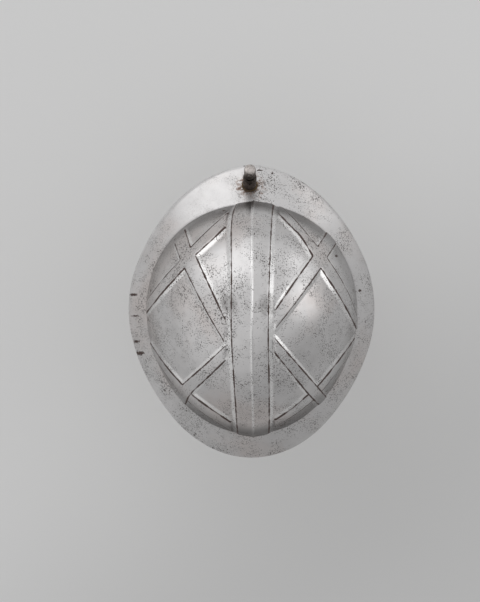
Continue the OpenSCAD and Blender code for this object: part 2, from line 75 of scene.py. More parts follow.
# %% Driving sizes
MM = 0.001
CROWN_LEN = 236
CROWN_W = 216
CROWN_H = 108
TOP_AHEAD = 10
PLATE_T = 1.8
CREASE_R = 1.8
BRIM_FRONT = 42
BRIM_SIDE = 19.5
BRIM_REAR = 26
BRIM_POINT = 3.7
POINT_ANGLE = math.radians(12)
BRIM_DROP = 24
LIP_W = 3
LIP_DROP = 1
AXIS_Y = -TOP_AHEAD
# The crown is the top of an ellipsoid, cut off where its radius is this share of the greatest
CUT = 0.985
CUT_H = math.sqrt(1 - CUT * CUT)
SMALLEST = 1e-9

# %% [markdown]
# ## The shape of the plate as a formula
#
# A helmet is nearly round, so a place on it is given by two numbers: the turn t about the crown's axis,
# from the front towards the wearer's left, and the way s from the top of the crown (0) over the crease
# between crown and brim (about 1) to the rim (1.28). The functions take whole numpy arrays, because a
# fine mesh has about a hundred thousand points.

# %% Plan and profile
S_FOOT = 1.0
S_OUT = 1.05
S_LIP = 1.25
S_RIM = 1.28


def crown_r(t):
    """Distance from the crown's axis to the crease."""
    long_r = CROWN_LEN / 2 - TOP_AHEAD * np.cos(t)
    return 1 / np.sqrt((np.sin(t) / (CROWN_W / 2)) ** 2 + (np.cos(t) / long_r) ** 2)


def rim_r(t):
    """Distance from the crown's axis to the rim, with the soft point at the front."""
    side = CROWN_W / 2 + BRIM_SIDE
    front = CROWN_LEN / 2 - TOP_AHEAD + BRIM_FRONT
    rear = CROWN_LEN / 2 + TOP_AHEAD + BRIM_REAR
    ahead = np.maximum(np.cos(t), 0) ** 4
    behind = np.maximum(-np.cos(t), 0) ** 4
    point = BRIM_POINT * np.exp(-np.abs(t) / POINT_ANGLE)
    return side + (front - BRIM_POINT - side) * ahead + (rear - side) * behind + point


def dome(q):
    """Height of the crown at a share q of its radius."""
    return CROWN_H * (np.sqrt(np.maximum(1 - (CUT * q) ** 2, 0)) - CUT_H) / (1 - CUT_H)


def share_at(z):
    """Share of the crown's radius at height z."""
    return np.sqrt(1 - (CUT_H + z * (1 - CUT_H) / CROWN_H) ** 2) / CUT


FOOT_ANGLE = float(np.arcsin(CUT * share_at(CREASE_R)))


def profile(t, s):
    """Radius and height of the plate's outer face."""
    r, w = crown_r(t), rim_r(t) - crown_r(t)
    q = np.sin(np.clip(s, 0, S_FOOT) * FOOT_ANGLE) / CUT
    radius, height = r * q, dome(q)
    slope = np.arctan2((BRIM_DROP - LIP_DROP), w)
    f = np.clip((s - S_FOOT) / (S_OUT - S_FOOT), 0, 1)
    start_r, start_z = r * share_at(CREASE_R), CREASE_R
    out_r, out_z = r + CREASE_R * np.cos(slope), -CREASE_R * np.sin(slope)
    bend_r = start_r * (1 - f) ** 2 + 2 * r * f * (1 - f) + out_r * f * f
    bend_z = start_z * (1 - f) ** 2 + out_z * f * f
    f = np.clip((s - S_OUT) / (S_LIP - S_OUT), 0, 1)
    g = np.clip((s - S_LIP) / (S_RIM - S_LIP), 0, 1)
    brim_r = out_r + (r + w - LIP_W - out_r) * f + LIP_W * g
    brim_z = -(brim_r - r) * (BRIM_DROP - LIP_DROP) / w - LIP_DROP * g * g
    on_crown, on_bend = s <= S_FOOT, s <= S_OUT
    radius = np.where(on_crown, radius, np.where(on_bend, bend_r, brim_r))
    height = np.where(on_crown, height, np.where(on_bend, bend_z, brim_z))
    return radius, height


def place(t, s):
    """Points of the plate's outer face in millimetres, one row for each t and s."""
    radius, height = profile(t, s)
    return np.stack([radius * np.sin(t), AXIS_Y - radius * np.cos(t), height], axis=1)


STEP = 1e-4


def outward(t, s):
    """Unit normals of the plate's outer face."""
    s_low = np.maximum(s, 4 * STEP)
    along = place(t, s_low + STEP) - place(t, s_low - STEP)
    around = place(t + STEP, s_low) - place(t - STEP, s_low)
    n = np.cross(along, around)
    return n / np.maximum(np.linalg.norm(n, axis=1, keepdims=True), SMALLEST)


top_normal = outward(np.array([0.3]), np.array([0.2]))[0]
print("normal near the top:", np.round(top_normal, 2))
print("rim, mm:", np.round(rim_r(np.radians([0, 90, 180])), 1))

# %% [markdown]
# ## Where the straps lie
#
# On the real helmet the smith raised the band and the straps with a punch from inside, and then cut a
# line along each edge. Nothing about them follows a rule: they were set out by hand, so their outlines
# are short lists of given points, in millimetres seen from above. A smooth curve through
# each list gives the line, and the line is laid on the crown.

# %% Outlines of band and straps
STRAPS = {
    "a": ([(21, -109), (40, -91), (58, -73), (70, -59), (88, -40), (106, -18)],
          [(22, -95), (38, -79), (55, -63), (67, -49), (87, -28), (106, -6)]),
    "b": ([(77, -76), (70.5, -60), (66, -51), (46, -12), (27, 21)],
          [(67, -90), (60, -70), (55, -62), (40, -30), (26, 0)]),
    "c": ([(26, 25), (47, 45), (68, 64), (77, 74)],
          [(26, 39), (43, 56), (60, 73), (67, 86)]),
    "d": ([(105, 26), (89, 51), (76, 68), (61, 84), (41, 99), (20, 113)],
          [(102, 24), (86, 45), (70, 63), (58, 75), (38, 90), (18, 104)]),
    "e": ([(-27, -116), (-44, -97), (-60, -77), (-74, -60), (-94, -29), (-107, 0)],
          [(-24, -108), (-36, -94), (-48, -81), (-62, -58), (-86, -22), (-106, 11)]),
    "f": ([(-76, -88), (-64, -71), (-59, -62), (-40, -36), (-22, -10)],
          [(-85, -77), (-74, -62), (-68, -52), (-44, -20), (-22, 8)]),
    "g": ([(-21, 17), (-48, 48), (-68, 71), (-78, 82)],
          [(-21, 31), (-38, 52), (-55, 73), (-68, 87)]),
    "h": ([(-107, 25), (-88, 49), (-72, 68), (-61, 80), (-42, 95), (-22, 108)],
          [(-104, 18), (-84, 43), (-66, 64), (-55, 74), (-39, 88), (-22, 100)]),
}
# Where two straps cross, each edge's cut line stops inside the strap named here, or runs on through
STOPS = {"a": ("b", "b"), "b": ("a", "a"), "c": ("d", None), "d": ("c", "c"),
         "e": ("f", "f"), "f": ("e", "e"), "g": (None, None), "h": ("g", "g")}
BAND_EDGES = ([(15, -117), (20, -95), (20, -40), (20, 13), (17.5, 60), (14, 117)],
              [(-22, -117), (-19, -95), (-16, -40), (-15, 13), (-16, 60), (-17, 117)])
BAND_RIDGE = [(-2, -118), (0, -95), (0.5, -40), (1, 13), (0, 60), (-1.5, 118)]
CURVE_STEPS = 6
EDGE_SHARE = 0.99
FAR_AWAY = 1e6


def smooth_curve(points):
    """A smooth curve through points, as rows of x and y."""
    p = np.array(points, float)
    p = np.vstack([2 * p[0] - p[1], p, 2 * p[-1] - p[-2]])
    rows = []
    for i in range(1, len(p) - 2):
        a, b, c, d = p[i - 1:i + 3]
        for f in np.arange(CURVE_STEPS) / CURVE_STEPS:
            bend = (2 * a - 5 * b + 4 * c - d) * f * f + (3 * b - a - 3 * c + d) * f ** 3
            rows.append(0.5 * (2 * b + (c - a) * f + bend))
    rows.append(p[-2])
    return np.array(rows)


def laid_on_crown(plan):
    """The curve's points on the crown, kept a little inside the crease."""
    x, y = plan[:, 0], plan[:, 1] - AXIS_Y
    t, r = np.arctan2(x, -y), np.hypot(x, y)
    q = np.minimum(r / crown_r(t), EDGE_SHARE)
    radius = q * crown_r(t)
    return np.stack([radius * np.sin(t), AXIS_Y - radius * np.cos(t), dome(q)], axis=1)


# The straps keep their width as seen from above, so heights count for less than lengths in plan
FLATTEN = np.array([1, 1, 0.36])


def distance_to(line, points):
    """Distance of each point from a line of straight stretches."""
    best = np.full(len(points), FAR_AWAY)
    line, points = line * FLATTEN, points * FLATTEN
    for a, b in zip(line[:-1], line[1:]):
        ab = b - a
        f = np.clip((points - a) @ ab / max(ab @ ab, SMALLEST), 0, 1)
        best = np.minimum(best, np.linalg.norm(points - a - f[:, None] * ab, axis=1))
    return best


def is_inside(outline, points):
    """True for each point whose place in plan lies inside a closed outline."""
    x, y = points[:, 0], points[:, 1]
    inside = np.zeros(len(points), bool)
    for (x1, y1), (x2, y2) in zip(outline, np.roll(outline, -1, axis=0)):
        if y1 != y2:
            crosses = (y1 > y) != (y2 > y)
            inside ^= crosses & (x < (x2 - x1) * (y - y1) / (y2 - y1) + x1)
    return inside


class RaisedStrip:
    """A raised strip between two edges, which knows how deep inside it a point lies."""

    def __init__(self, edges):
        curves = [smooth_curve(e) for e in edges]
        self.outline = np.vstack([curves[0], curves[1][::-1]])
        self.lines = [laid_on_crown(c) for c in curves]

    def from_lines(self, points):
        """Distance of each point from each of the two edges."""
        return [distance_to(line, points) for line in self.lines]

    def depth(self, points):
        """Distance to the nearer edge in millimetres, above 0 inside and below 0 outside."""
        nearest = np.minimum(*self.from_lines(points))
        return np.where(is_inside(self.outline, points), nearest, -nearest)


straps = {name: RaisedStrip(edges) for name, edges in STRAPS.items()}
band = RaisedStrip(BAND_EDGES)
half_band = RaisedStrip((BAND_EDGES[0], BAND_RIDGE))
ridge_line = half_band.lines[1]
cut_lines = [line for strip in [*straps.values(), band] for line in strip.lines]
print("cut lines, mm:", round(sum(np.linalg.norm(np.diff(c, axis=0), axis=1).sum() for c in cut_lines)))

# %% [markdown]
# ## Relief
#
# The relief is a height above the plain plate, worked out at any point of it: a flat-topped strap with a
# soft slope outside each edge, a band that rises to its ridge like a low roof, a narrow cut along every
# edge, and the slow waves that a hammer leaves. Heights are easier to tune than vertices, and the mesh
# can be as fine or as coarse as the picture needs.

# %% Height of the relief
STRAP_H = 2.1
BAND_H = 2.7
RIDGE_H = 4.1
STRAP_SLOPE = 3.6
BAND_SLOPE = 5.2
SLOPE_CURVE = 1.25
LINE_DEPTH = 0.45
LINE_W = 1.1
CREST_H = 1.0
CREST_W = 1.6
# The straps run out round the foot of the band's slope: millimetres inwards from it to whole and gone
STRAP_WHOLE = -1.4
STRAP_GONE = 0.4
# A cut line ends at the edge of the strap that stops it: whole at the first depth inside, gone at the other
LINE_STOP = (-0.5, 0.3)
# The relief runs out between these two ways, and its cut lines between the other two
RELIEF_END = (0.965, 1.0)
LINE_END = (0.998, 1.004)


def soft_step(x, low, high):
    """0 below low, 1 above high and a smooth rise between them."""
    f = np.clip((x - low) / (high - low), 0, 1)
    return f * f * (3 - 2 * f)


def slope_up(depth, width):
    """Rise of the slope outside an edge, from 0 at its foot to 1 at the edge."""
    return np.clip(1 + depth / width, 0, 1) ** SLOPE_CURVE


def mid_slope(depth, width):
    """1 half way up the slope outside an edge, and 0 at its foot and at the edge."""
    share = np.clip(1 + depth / width, 0, 1)
    return 4 * share * (1 - share)


def cut_across(distance):
    """1 on a cut line, falling to 0 at its sides."""
    return np.clip(1 - distance / LINE_W, 0, 1)


def from_ridge(points):
    """Distance from the band's ridge, above 0 on the wearer's left of it."""
    d = distance_to(ridge_line, points)
    return np.where(is_inside(half_band.outline, points), d, -d)


def relief(points, s):
    """Height above the plain plate, darkness of cut lines, and wear and painted highlight on slopes and
    crest.
    """
    depths = {name: strap.depth(points) for name, strap in straps.items()}
    in_strap = np.max(list(depths.values()), axis=0)
    in_band = band.depth(points)
    to_ridge = np.abs(from_ridge(points))
    clear_of_band = 1 - soft_step(in_band, STRAP_WHOLE - BAND_SLOPE, STRAP_GONE - BAND_SLOPE)
    strap_height = STRAP_H * slope_up(in_strap, STRAP_SLOPE) * clear_of_band
    within = np.clip(in_band, 0, None)
    roof = within / np.maximum(within + to_ridge, SMALLEST)
    band_height = BAND_H * slope_up(in_band, BAND_SLOPE) + (RIDGE_H - BAND_H) * roof
    crest = np.clip(1 - to_ridge / CREST_W, 0, 1) * (in_band > 0)
    band_height += CREST_H * crest
    # Partly rubbed wear and partly painted highlight, half way up each slope and along the crest
    wear_and_highlight = np.maximum(mid_slope(in_band, BAND_SLOPE), mid_slope(in_strap, STRAP_SLOPE) * clear_of_band)
    wear_and_highlight = np.maximum(wear_and_highlight, crest)
    line = cut_across(np.abs(in_band))
    for name, strap in straps.items():
        for distance, stop in zip(strap.from_lines(points), STOPS[name]):
            own = cut_across(distance) * clear_of_band
            if stop:
                own *= 1 - soft_step(depths[stop], *LINE_STOP)
            line = np.maximum(line, own)
    fade = 1 - soft_step(s, *RELIEF_END)
    line = line * (1 - soft_step(s, *LINE_END))
    return np.maximum(strap_height, band_height) * fade - LINE_DEPTH * line, line, wear_and_highlight * fade


# %% [markdown]
# ## The plate
#
# The plate starts as a flat disc: one row of vertices spun round the axis. Near the straps its faces are
# halved. Then the disc is cut along every edge, every foot of a slope and the sides of every cut line, so
# that each crease of the real steel has its own row of mesh edges, and none of them looks like a
# staircase. The cutting uses Subdivide with one cut to an edge, placed where the curve crosses it.

# %% Disc of vertices, finer along the straps
SECTORS = 216
CROWN_RINGS = 60
BEND_RINGS = 5
BRIM_RINGS = 14
LIP_RINGS = 4
SAME_PLACE = 1e-6
HALVE_NEAR = 7.0
HALVE_ABOVE = 2.0


def spaced(first, *stretches):
    """Numbers from the first on, in stretches that each have an end and a count of equal steps."""
    numbers = [first]
    for end, count in stretches:
        numbers += list(np.linspace(numbers[-1], end, count + 1)[1:])
    return numbers


def as_t_s(bm):
    """The turn t and the way s of each vertex of the flat disc."""
    xy = np.array([v.co[:2] for v in bm.verts])
    return np.arctan2(xy[:, 0], -xy[:, 1]), np.hypot(xy[:, 0], xy[:, 1])


def flat_disc(rings):
    """A disc whose rings of vertices lie at the given distances from its middle."""
    bm = bmesh.new()
    row = [bm.verts.new((0, -s, 0)) for s in rings]
    spokes = [bm.edges.new(pair) for pair in zip(row[:-1], row[1:])]
    bmesh.ops.spin(bm, geom=[*row, *spokes], cent=(0, 0, 0), axis=(0, 0, 1), angle=math.tau,
                   steps=SECTORS, use_merge=True)
    bmesh.ops.remove_doubles(bm, verts=bm.verts[:], dist=SAME_PLACE)
    return bm


def halve(bm, reach, goal):
    """Halves the edges that are longer than goal and lie within reach of a line, in millimetres."""
    points = place(*as_t_s(bm))
    near = np.min([distance_to(line, points) for line in [*cut_lines, ridge_line]], axis=0)
    bm.verts.index_update()
    chosen = []
    for e in bm.edges:
        a, b = e.verts[0].index, e.verts[1].index
        if min(near[a], near[b]) < reach and math.dist(points[a], points[b]) > goal:
            chosen.append(e)
    bmesh.ops.subdivide_edges(bm, edges=chosen, cuts=1, use_grid_fill=True)


crown_and_bend = (S_FOOT, CROWN_RINGS), (S_OUT, BEND_RINGS)
plate = flat_disc(spaced(0.0, *crown_and_bend, (S_LIP, BRIM_RINGS), (S_RIM, LIP_RINGS)))
halve(plate, HALVE_NEAR, HALVE_ABOVE)
print("disc:", len(plate.verts), "vertices")

# %% Cut the disc along the lines of the relief
# An edge isn't cut nearer to its end than this share, nor where the value jumps by more millimetres
NEAR_END = 0.04
BIGGEST_JUMP = 8
GROUPS = {"long straps": "adeh", "short straps": "bcfg"}


def group_depth(names):
    """Depth inside any one of some straps that don't cross each other."""
    return lambda points: np.max([straps[name].depth(points) for name in names], axis=0)


fields = {name: group_depth(names) for name, names in GROUPS.items()}
fields["band"] = band.depth
fields["ridge"] = from_ridge
levels = {name: (-STRAP_SLOPE, -LINE_W, 0, LINE_W) for name in GROUPS}
levels["band"] = (-BAND_SLOPE, -LINE_W, 0, LINE_W)
levels["ridge"] = (-CREST_W, 0, CREST_W)


def cut_at(bm, layer, level):
    """Cuts the faces where the layer's value crosses a level."""
    shares = {}
    for e in bm.edges:
        a, b = e.verts[0][layer] - level, e.verts[1][layer] - level
        if a * b < 0 and abs(a - b) < BIGGEST_JUMP:
            share = a / (a - b)
            if NEAR_END < share < 1 - NEAR_END:
                shares[e] = share
    bmesh.ops.subdivide_edges(bm, edges=list(shares), cuts=1, edge_percents=shares,
                              use_single_edge=True)


points = place(*as_t_s(plate))
layers = {name: plate.verts.layers.float.new(name) for name in fields}
for name, field in fields.items():
    for v, value in zip(plate.verts, field(points)):
        v[layers[name]] = value
for name, values in levels.items():
    for level in values:
        cut_at(plate, layers[name], level)
for name in fields:
    plate.verts.layers.float.remove(plate.verts.layers.float[name])
print("disc cut along its lines:", len(plate.verts), "vertices")

# %% Move the disc onto the helmet and give it its edge and inner face
WAVE_H = 0.35
# Size of each kind of wave in millimetres, and its share of the height
WAVES = ((55, 1.0), (22, 0.35))
# Rings of the inner face on brim, bend and crown, and the way of the last, which is merged into a point
INNER_RINGS = (5, 3, 29)
INNER_END = 0.03
EDGE_TURNS = (30, 60, 90, 120, 150)
EDGE_BULGE = 0.7
# Painted highlight along the rim's last stretch, towards the front left where the key light falls
RIM_HIGHLIGHT_TURN = math.radians(35)
RIM_HIGHLIGHT = 0.7
RIM_HIGHLIGHT_WAYS = (S_RIM - 0.02, S_RIM - 0.006)
# Painted shade darkens the foot of the crown: most at front and rear, a little all round and a little
# more in the crease, none on the brim
FOOT_SHADE = 0.9
FOOT_SHADE_WAYS = (0.72, 0.88)
FOOT_SHADE_AT_SIDES = 0.3
FOOT_SHADE_IN_CREASE = 0.1
CREASE_WAYS = (0.93, 1.0)
FOOT_SHADE_ENDS = (1.004, 1.02)


def hammer_waves(points):
    """Slow waves left by the hammer, in millimetres."""
    waves = np.zeros(len(points))
    for size, share in WAVES:
        waves += share * np.array([noise.noise(Vector(p) / size) for p in points])
    return WAVE_H * waves


t, s = as_t_s(plate)
points, normals = place(t, s), outward(t, s)
height, darkness, highlight_and_wear = relief(points, s)
# Painted highlight on the rim, strongest at the lit front left
lit_side = np.clip(np.cos(t - RIM_HIGHLIGHT_TURN), 0, 1) ** 2
highlight_and_wear = np.maximum(highlight_and_wear, RIM_HIGHLIGHT * soft_step(s, *RIM_HIGHLIGHT_WAYS) * lit_side)
round_about = FOOT_SHADE_AT_SIDES + (1 - FOOT_SHADE_AT_SIDES) * np.cos(t) ** 2
foot_shade = FOOT_SHADE * soft_step(s, *FOOT_SHADE_WAYS) * round_about + FOOT_SHADE_IN_CREASE * soft_step(s, *CREASE_WAYS)
foot_shade *= 1 - soft_step(s, *FOOT_SHADE_ENDS)
points += normals * (height + hammer_waves(points))[:, None]
for v, p in zip(plate.verts, points):
    v.co = Vector(p) * MM
# The mesh keeps the cut lines, the painted shade at the crown's foot, and wear with painted highlight
for name, values in (("cut_line", darkness), ("painted_crease_shade", foot_shade), ("wear_and_highlight", highlight_and_wear)):
    layer = plate.verts.layers.float.new(name)
    for v, value in zip(plate.verts, values):
        v[layer] = value


def sink(t, s, depth):
    """Points at a depth below the plain outer face."""
    return place(t, s) - outward(t, s) * depth


def add_ring(bm, loop, points):
    """Extrudes a closed loop of edges and moves each new vertex to the point at its turn."""
    made = bmesh.ops.extrude_edge_only(bm, edges=loop)["geom"]
    new_edges = [g for g in made if isinstance(g, bmesh.types.BMEdge) and g.is_boundary]
    new_verts = {v for e in new_edges for v in e.verts}
    for v in new_verts:
        angle = math.atan2(v.co.x, -(v.co.y - AXIS_Y * MM))
        v.co = Vector(points(angle)) * MM
    return new_edges


loop = [e for e in plate.edges if e.is_boundary]
print("rim edges:", len(loop))
half = PLATE_T / 2


def edge_point(turn):
    """Gives the rounded edge's point at a turn about the middle of the plate's thickness."""
    def at(angle):
        a, rim = np.array([angle]), np.array([S_RIM])
        n, middle = outward(a, rim)[0], sink(a, rim, half)[0]
        out = np.array([math.sin(angle), -math.cos(angle), 0])
        out -= n * (out @ n)
        out /= np.linalg.norm(out)
        return middle + half * (n * math.cos(turn) + out * EDGE_BULGE * math.sin(turn))
    return at


for turn in EDGE_TURNS:
    loop = add_ring(plate, loop, edge_point(math.radians(turn)))
for ring in [S_RIM, *spaced(S_LIP, *zip((S_OUT, S_FOOT, INNER_END), INNER_RINGS))]:
    loop = add_ring(plate, loop, lambda angle: sink(np.array([angle]), np.array([ring]), PLATE_T)[0])
last = list({v for e in loop for v in e.verts})
bmesh.ops.pointmerge(plate, verts=last, merge_co=Vector((0, AXIS_Y, CROWN_H - PLATE_T)) * MM)
bmesh.ops.recalc_face_normals(plate, faces=plate.faces[:])


def finish_piece(bm, name, smooth=True):
    """Turns a bmesh into an object whose place is in its mesh."""
    mesh = bpy.data.meshes.new(name)
    bm.to_mesh(mesh)
    bm.free()
    for polygon in mesh.polygons:
        polygon.use_smooth = smooth
    made = bpy.data.objects.new(name, mesh)
    bpy.context.scene.collection.objects.link(made)
    triangles = sum(len(p.vertices) - 2 for p in mesh.polygons)
    print(name, "has", triangles, "triangles")
    return made


steel_plate = finish_piece(plate, "steel_plate")
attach(steel_plate, "helmet")
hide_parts("shell")

# %% [markdown]
# ## A short hand for shader maths
#
# A finish is a chain of small sums: a mask times a colour, a noise plus a scratch. Written as nodes they
# take many lines, so a small class wraps a socket and lets Python's own signs add the Math nodes. One
# method makes every other node. The sky at the end is a tree of nodes too, so it shares that method.

# %% Shader maths
class Number:
    """A socket that holds a number, with Python's arithmetic."""

    def __init__(self, tree, socket):
        self.tree = tree
        self.socket = socket

    def maths(self, operation, *values):
        made = self.tree.nodes.new("ShaderNodeMath")
        made.operation = operation
        for i, value in enumerate(values):
            if isinstance(value, Number):
                self.tree.links.new(value.socket, made.inputs[i])
            else:
                made.inputs[i].default_value = value
        return Number(self.tree, made.outputs[0])

    def __add__(self, other):
        return self.maths("ADD", self, other)

    __radd__ = __add__

    def __sub__(self, other):
        return self.maths("SUBTRACT", self, other)

    def __rsub__(self, other):
        return self.maths("SUBTRACT", other, self)

    def __mul__(self, other):
        return self.maths("MULTIPLY", self, other)

    __rmul__ = __mul__

    def larger(self, other):
        return self.maths("MAXIMUM", self, other)


def largest(masks):
    """The largest of several masks at each point."""
    return functools.reduce(Number.larger, masks)


class Nodes:
    """A tree of nodes while it is being laid out."""

    def __init__(self, tree):
        self.tree = tree

    def add(self, kind, settings=None, sockets=None, output=0):
        """Adds any node: its settings first, then the values or links of its sockets."""
        made = self.tree.nodes.new("ShaderNode" + kind)
        for name, value in (settings or {}).items():
            setattr(made, name, value)
        for key, value in (sockets or {}).items():
            self.put(made.inputs[key], value)
        return Number(self.tree, made.outputs[output])

    def put(self, socket, value):
        """Links a socket to a number, or sets it to a plain value."""
        if isinstance(value, Number):
            self.tree.links.new(value.socket, socket)
        elif isinstance(value, tuple) and len(value) == 3 and socket.type == "RGBA":
            socket.default_value = (*value, 1)
        else:
            socket.default_value = value

    def between(self, value, low, high, start=0.0, end=1.0):
        """Start where value is low, end where it is high, and a smooth change between them."""
        sockets = {"Value": value, "From Min": low, "From Max": high, "To Min": start, "To Max": end}
        return self.add("MapRange", {"interpolation_type": "SMOOTHSTEP"}, sockets)

    def mixed(self, factor, a, b):
        """Colour a where factor is 0 and b where it is 1."""
        return self.add("Mix", {"data_type": "RGBA"}, {0: factor, 6: a, 7: b}, 2)


class Finish(Nodes):
    """A material while its nodes are being laid out."""

    def __init__(self, name):
        self.material = bpy.data.materials.new(name)
        self.material.use_nodes = True
        super().__init__(self.material.node_tree)
        self.shader = self.tree.nodes["Principled BSDF"]
        self.where = self.add("TexCoord", output="Object")

    def layer(self, name):
        """A number that the mesh holds at each vertex."""
        return self.add("Attribute", {"attribute_name": name}, None, "Fac")

    def part(self, vector, axis):
        """One of the three numbers of a vector or a colour."""
        return self.add("SeparateXYZ", None, {"Vector": vector}, axis)

    def clouds(self, scale, detail, roughness, where=None):
        """Noise from 0 to 1, with scale in features to the metre."""
        sockets = {"Vector": where or self.where, "Scale": scale, "Detail": detail, "Roughness": roughness}
        return self.add("TexNoise", None, sockets)

    def stretched(self, scale, turn):
        """Object coordinates, turned and scaled along each axis."""
        return self.add("Mapping", None, {"Vector": self.where, "Rotation": turn, "Scale": scale})

    def near(self, centre, reach, ragged=None):
        """1 at a place in metres and 0 past reach, with a ragged border if asked."""
        away = self.add("VectorMath", {"operation": "DISTANCE"}, {0: self.where, 1: centre}, "Value")
        if ragged is not None:
            away = away + (ragged - 0.5) * reach * 1.2
        return self.between(away, reach * 0.35, reach, 1.0, 0.0)

    def finish(self, **sockets):
        """Sets the shader's own sockets by name, and returns the material."""
        for name, value in sockets.items():
            self.put(self.shader.inputs[name.replace("_", " ").title()], value)
        return self.material

    def bump(self, height, distance):
        """Normals of a surface whose height of 1 is a distance in metres."""
        return self.add("Bump", None, {"Height": height, "Distance": distance, "Strength": 1.0})


# %% [markdown]
# ## Old polished steel
#
# Steel that has been cleaned for centuries isn't a mirror. It has a soft grey shine, fine dark pits in
# drifts, faint warm stains and brown dirt in every cut that a polishing cloth can't reach. Its colour also
# holds painted shade at the foot of the crown and near its top, and painted highlights along the rim's
# front left and, mixed with bright wear, on the slopes of the relief.

# %% Steel of the plate
STUD_FOOT = (0.002, -0.138, -0.011)
# Old cracks and holes, most near the rim: place in metres, half length and half width in mm, degrees turned
MARKS = [((0.1225, -0.0250, -0.021), 4.4, 1.5, 8), ((0.1205, -0.0030, -0.021), 4.6, 0.8, 4),
         ((0.1195, 0.0235, -0.021), 3.8, 1.3, 0), ((0.1155, 0.0355, -0.018), 4.8, 2.3, 10),
         ((0.0080, -0.1590, -0.023), 1.2, 0.9, 0), ((-0.0085, -0.1540, -0.020), 3.2, 0.7, 10),
         ((-0.0215, -0.1510, -0.020), 1.2, 1.0, 0), ((-0.1110, -0.0290, -0.015), 1.8, 1.6, 0),
         ((-0.0850, -0.0640, 0.045), 1.6, 1.4, 0)]
# A place on the brim that has kept its polish
CLEAN_BRIM = ((0.062, -0.118, -0.015), 0.075)
# Painted shade near the top of the crown: place and reach in metres
TOP_SHADES = [((0.0234, -0.0164, 0.107), 0.013), ((-0.0146, -0.0144, 0.107), 0.014)]
# Pits of three sizes: cells to the metre, the drift where they begin and are full, share of slow drift
PITS = [(900.0, 0.35, 0.53, 0.5), (520.0, 0.43, 0.60, 0.6), (300.0, 0.50, 0.68, 0.5)]
RUST_REACH = 0.019
STUD_FOOT_DARK_REACH = 0.0125
# Colours as red, green and blue from 0 to 1
STEEL = (0.648, 0.638, 0.639)
WARM_STEEL = (0.64, 0.585, 0.565)
CLOUDED_STEEL = (0.44, 0.43, 0.425)
DULL_STEEL = (0.30, 0.295, 0.29)
WORN_AND_HIGHLIGHT_STEEL = (0.90, 0.895, 0.89)
TOP_SHADE_STEEL = (0.20, 0.19, 0.185)
# Colour of the painted shade at the crown's foot and in the crease
CREASE_SHADE = (0.075, 0.068, 0.064)
STUD_RUST = (0.17, 0.075, 0.03)
STUD_FOOT_DARK = (0.06, 0.042, 0.032)
PIT_DIRT = (0.062, 0.054, 0.050)
LINE_DIRT = (0.045, 0.022, 0.016)


def pits(f, scale, low, high, drift):
    """Dark pits in drifts: a cell pattern whose spots grow where the drift is strong."""
    cells = {"Vector": f.where, "Scale": scale, "Randomness": 1.0}
    away = f.add("TexVoronoi", {"feature": "F1"}, cells, "Distance")
    chance = f.part(f.add("TexVoronoi", {"feature": "F1"}, cells, "Color"), "X")
    size = f.between(drift, low, high, 0.0, 0.50) * chance
    return f.between(away - size, -0.06, 0.03, 1.0, 0.0) * f.between(size, 0.03, 0.08)


def crack(f, centre, length, width, turn, ragged):
    """1 inside a ragged lens-shaped mark that lies along the surface."""
    moved = f.add("VectorMath", {"operation": "SUBTRACT"}, {0: f.where, 1: centre})
    sockets = {"Vector": moved, "Rotation": (0, 0, math.radians(turn)),
               "Scale": (1 / (length * MM), 1 / (width * MM), 0)}
    local = f.add("Mapping", {"vector_type": "POINT"}, sockets)
    away = f.add("VectorMath", {"operation": "LENGTH"}, {0: local}, "Value")
    return f.between(away + (ragged - 0.5) * 3.0, 0.75, 1.05, 1.0, 0.0)


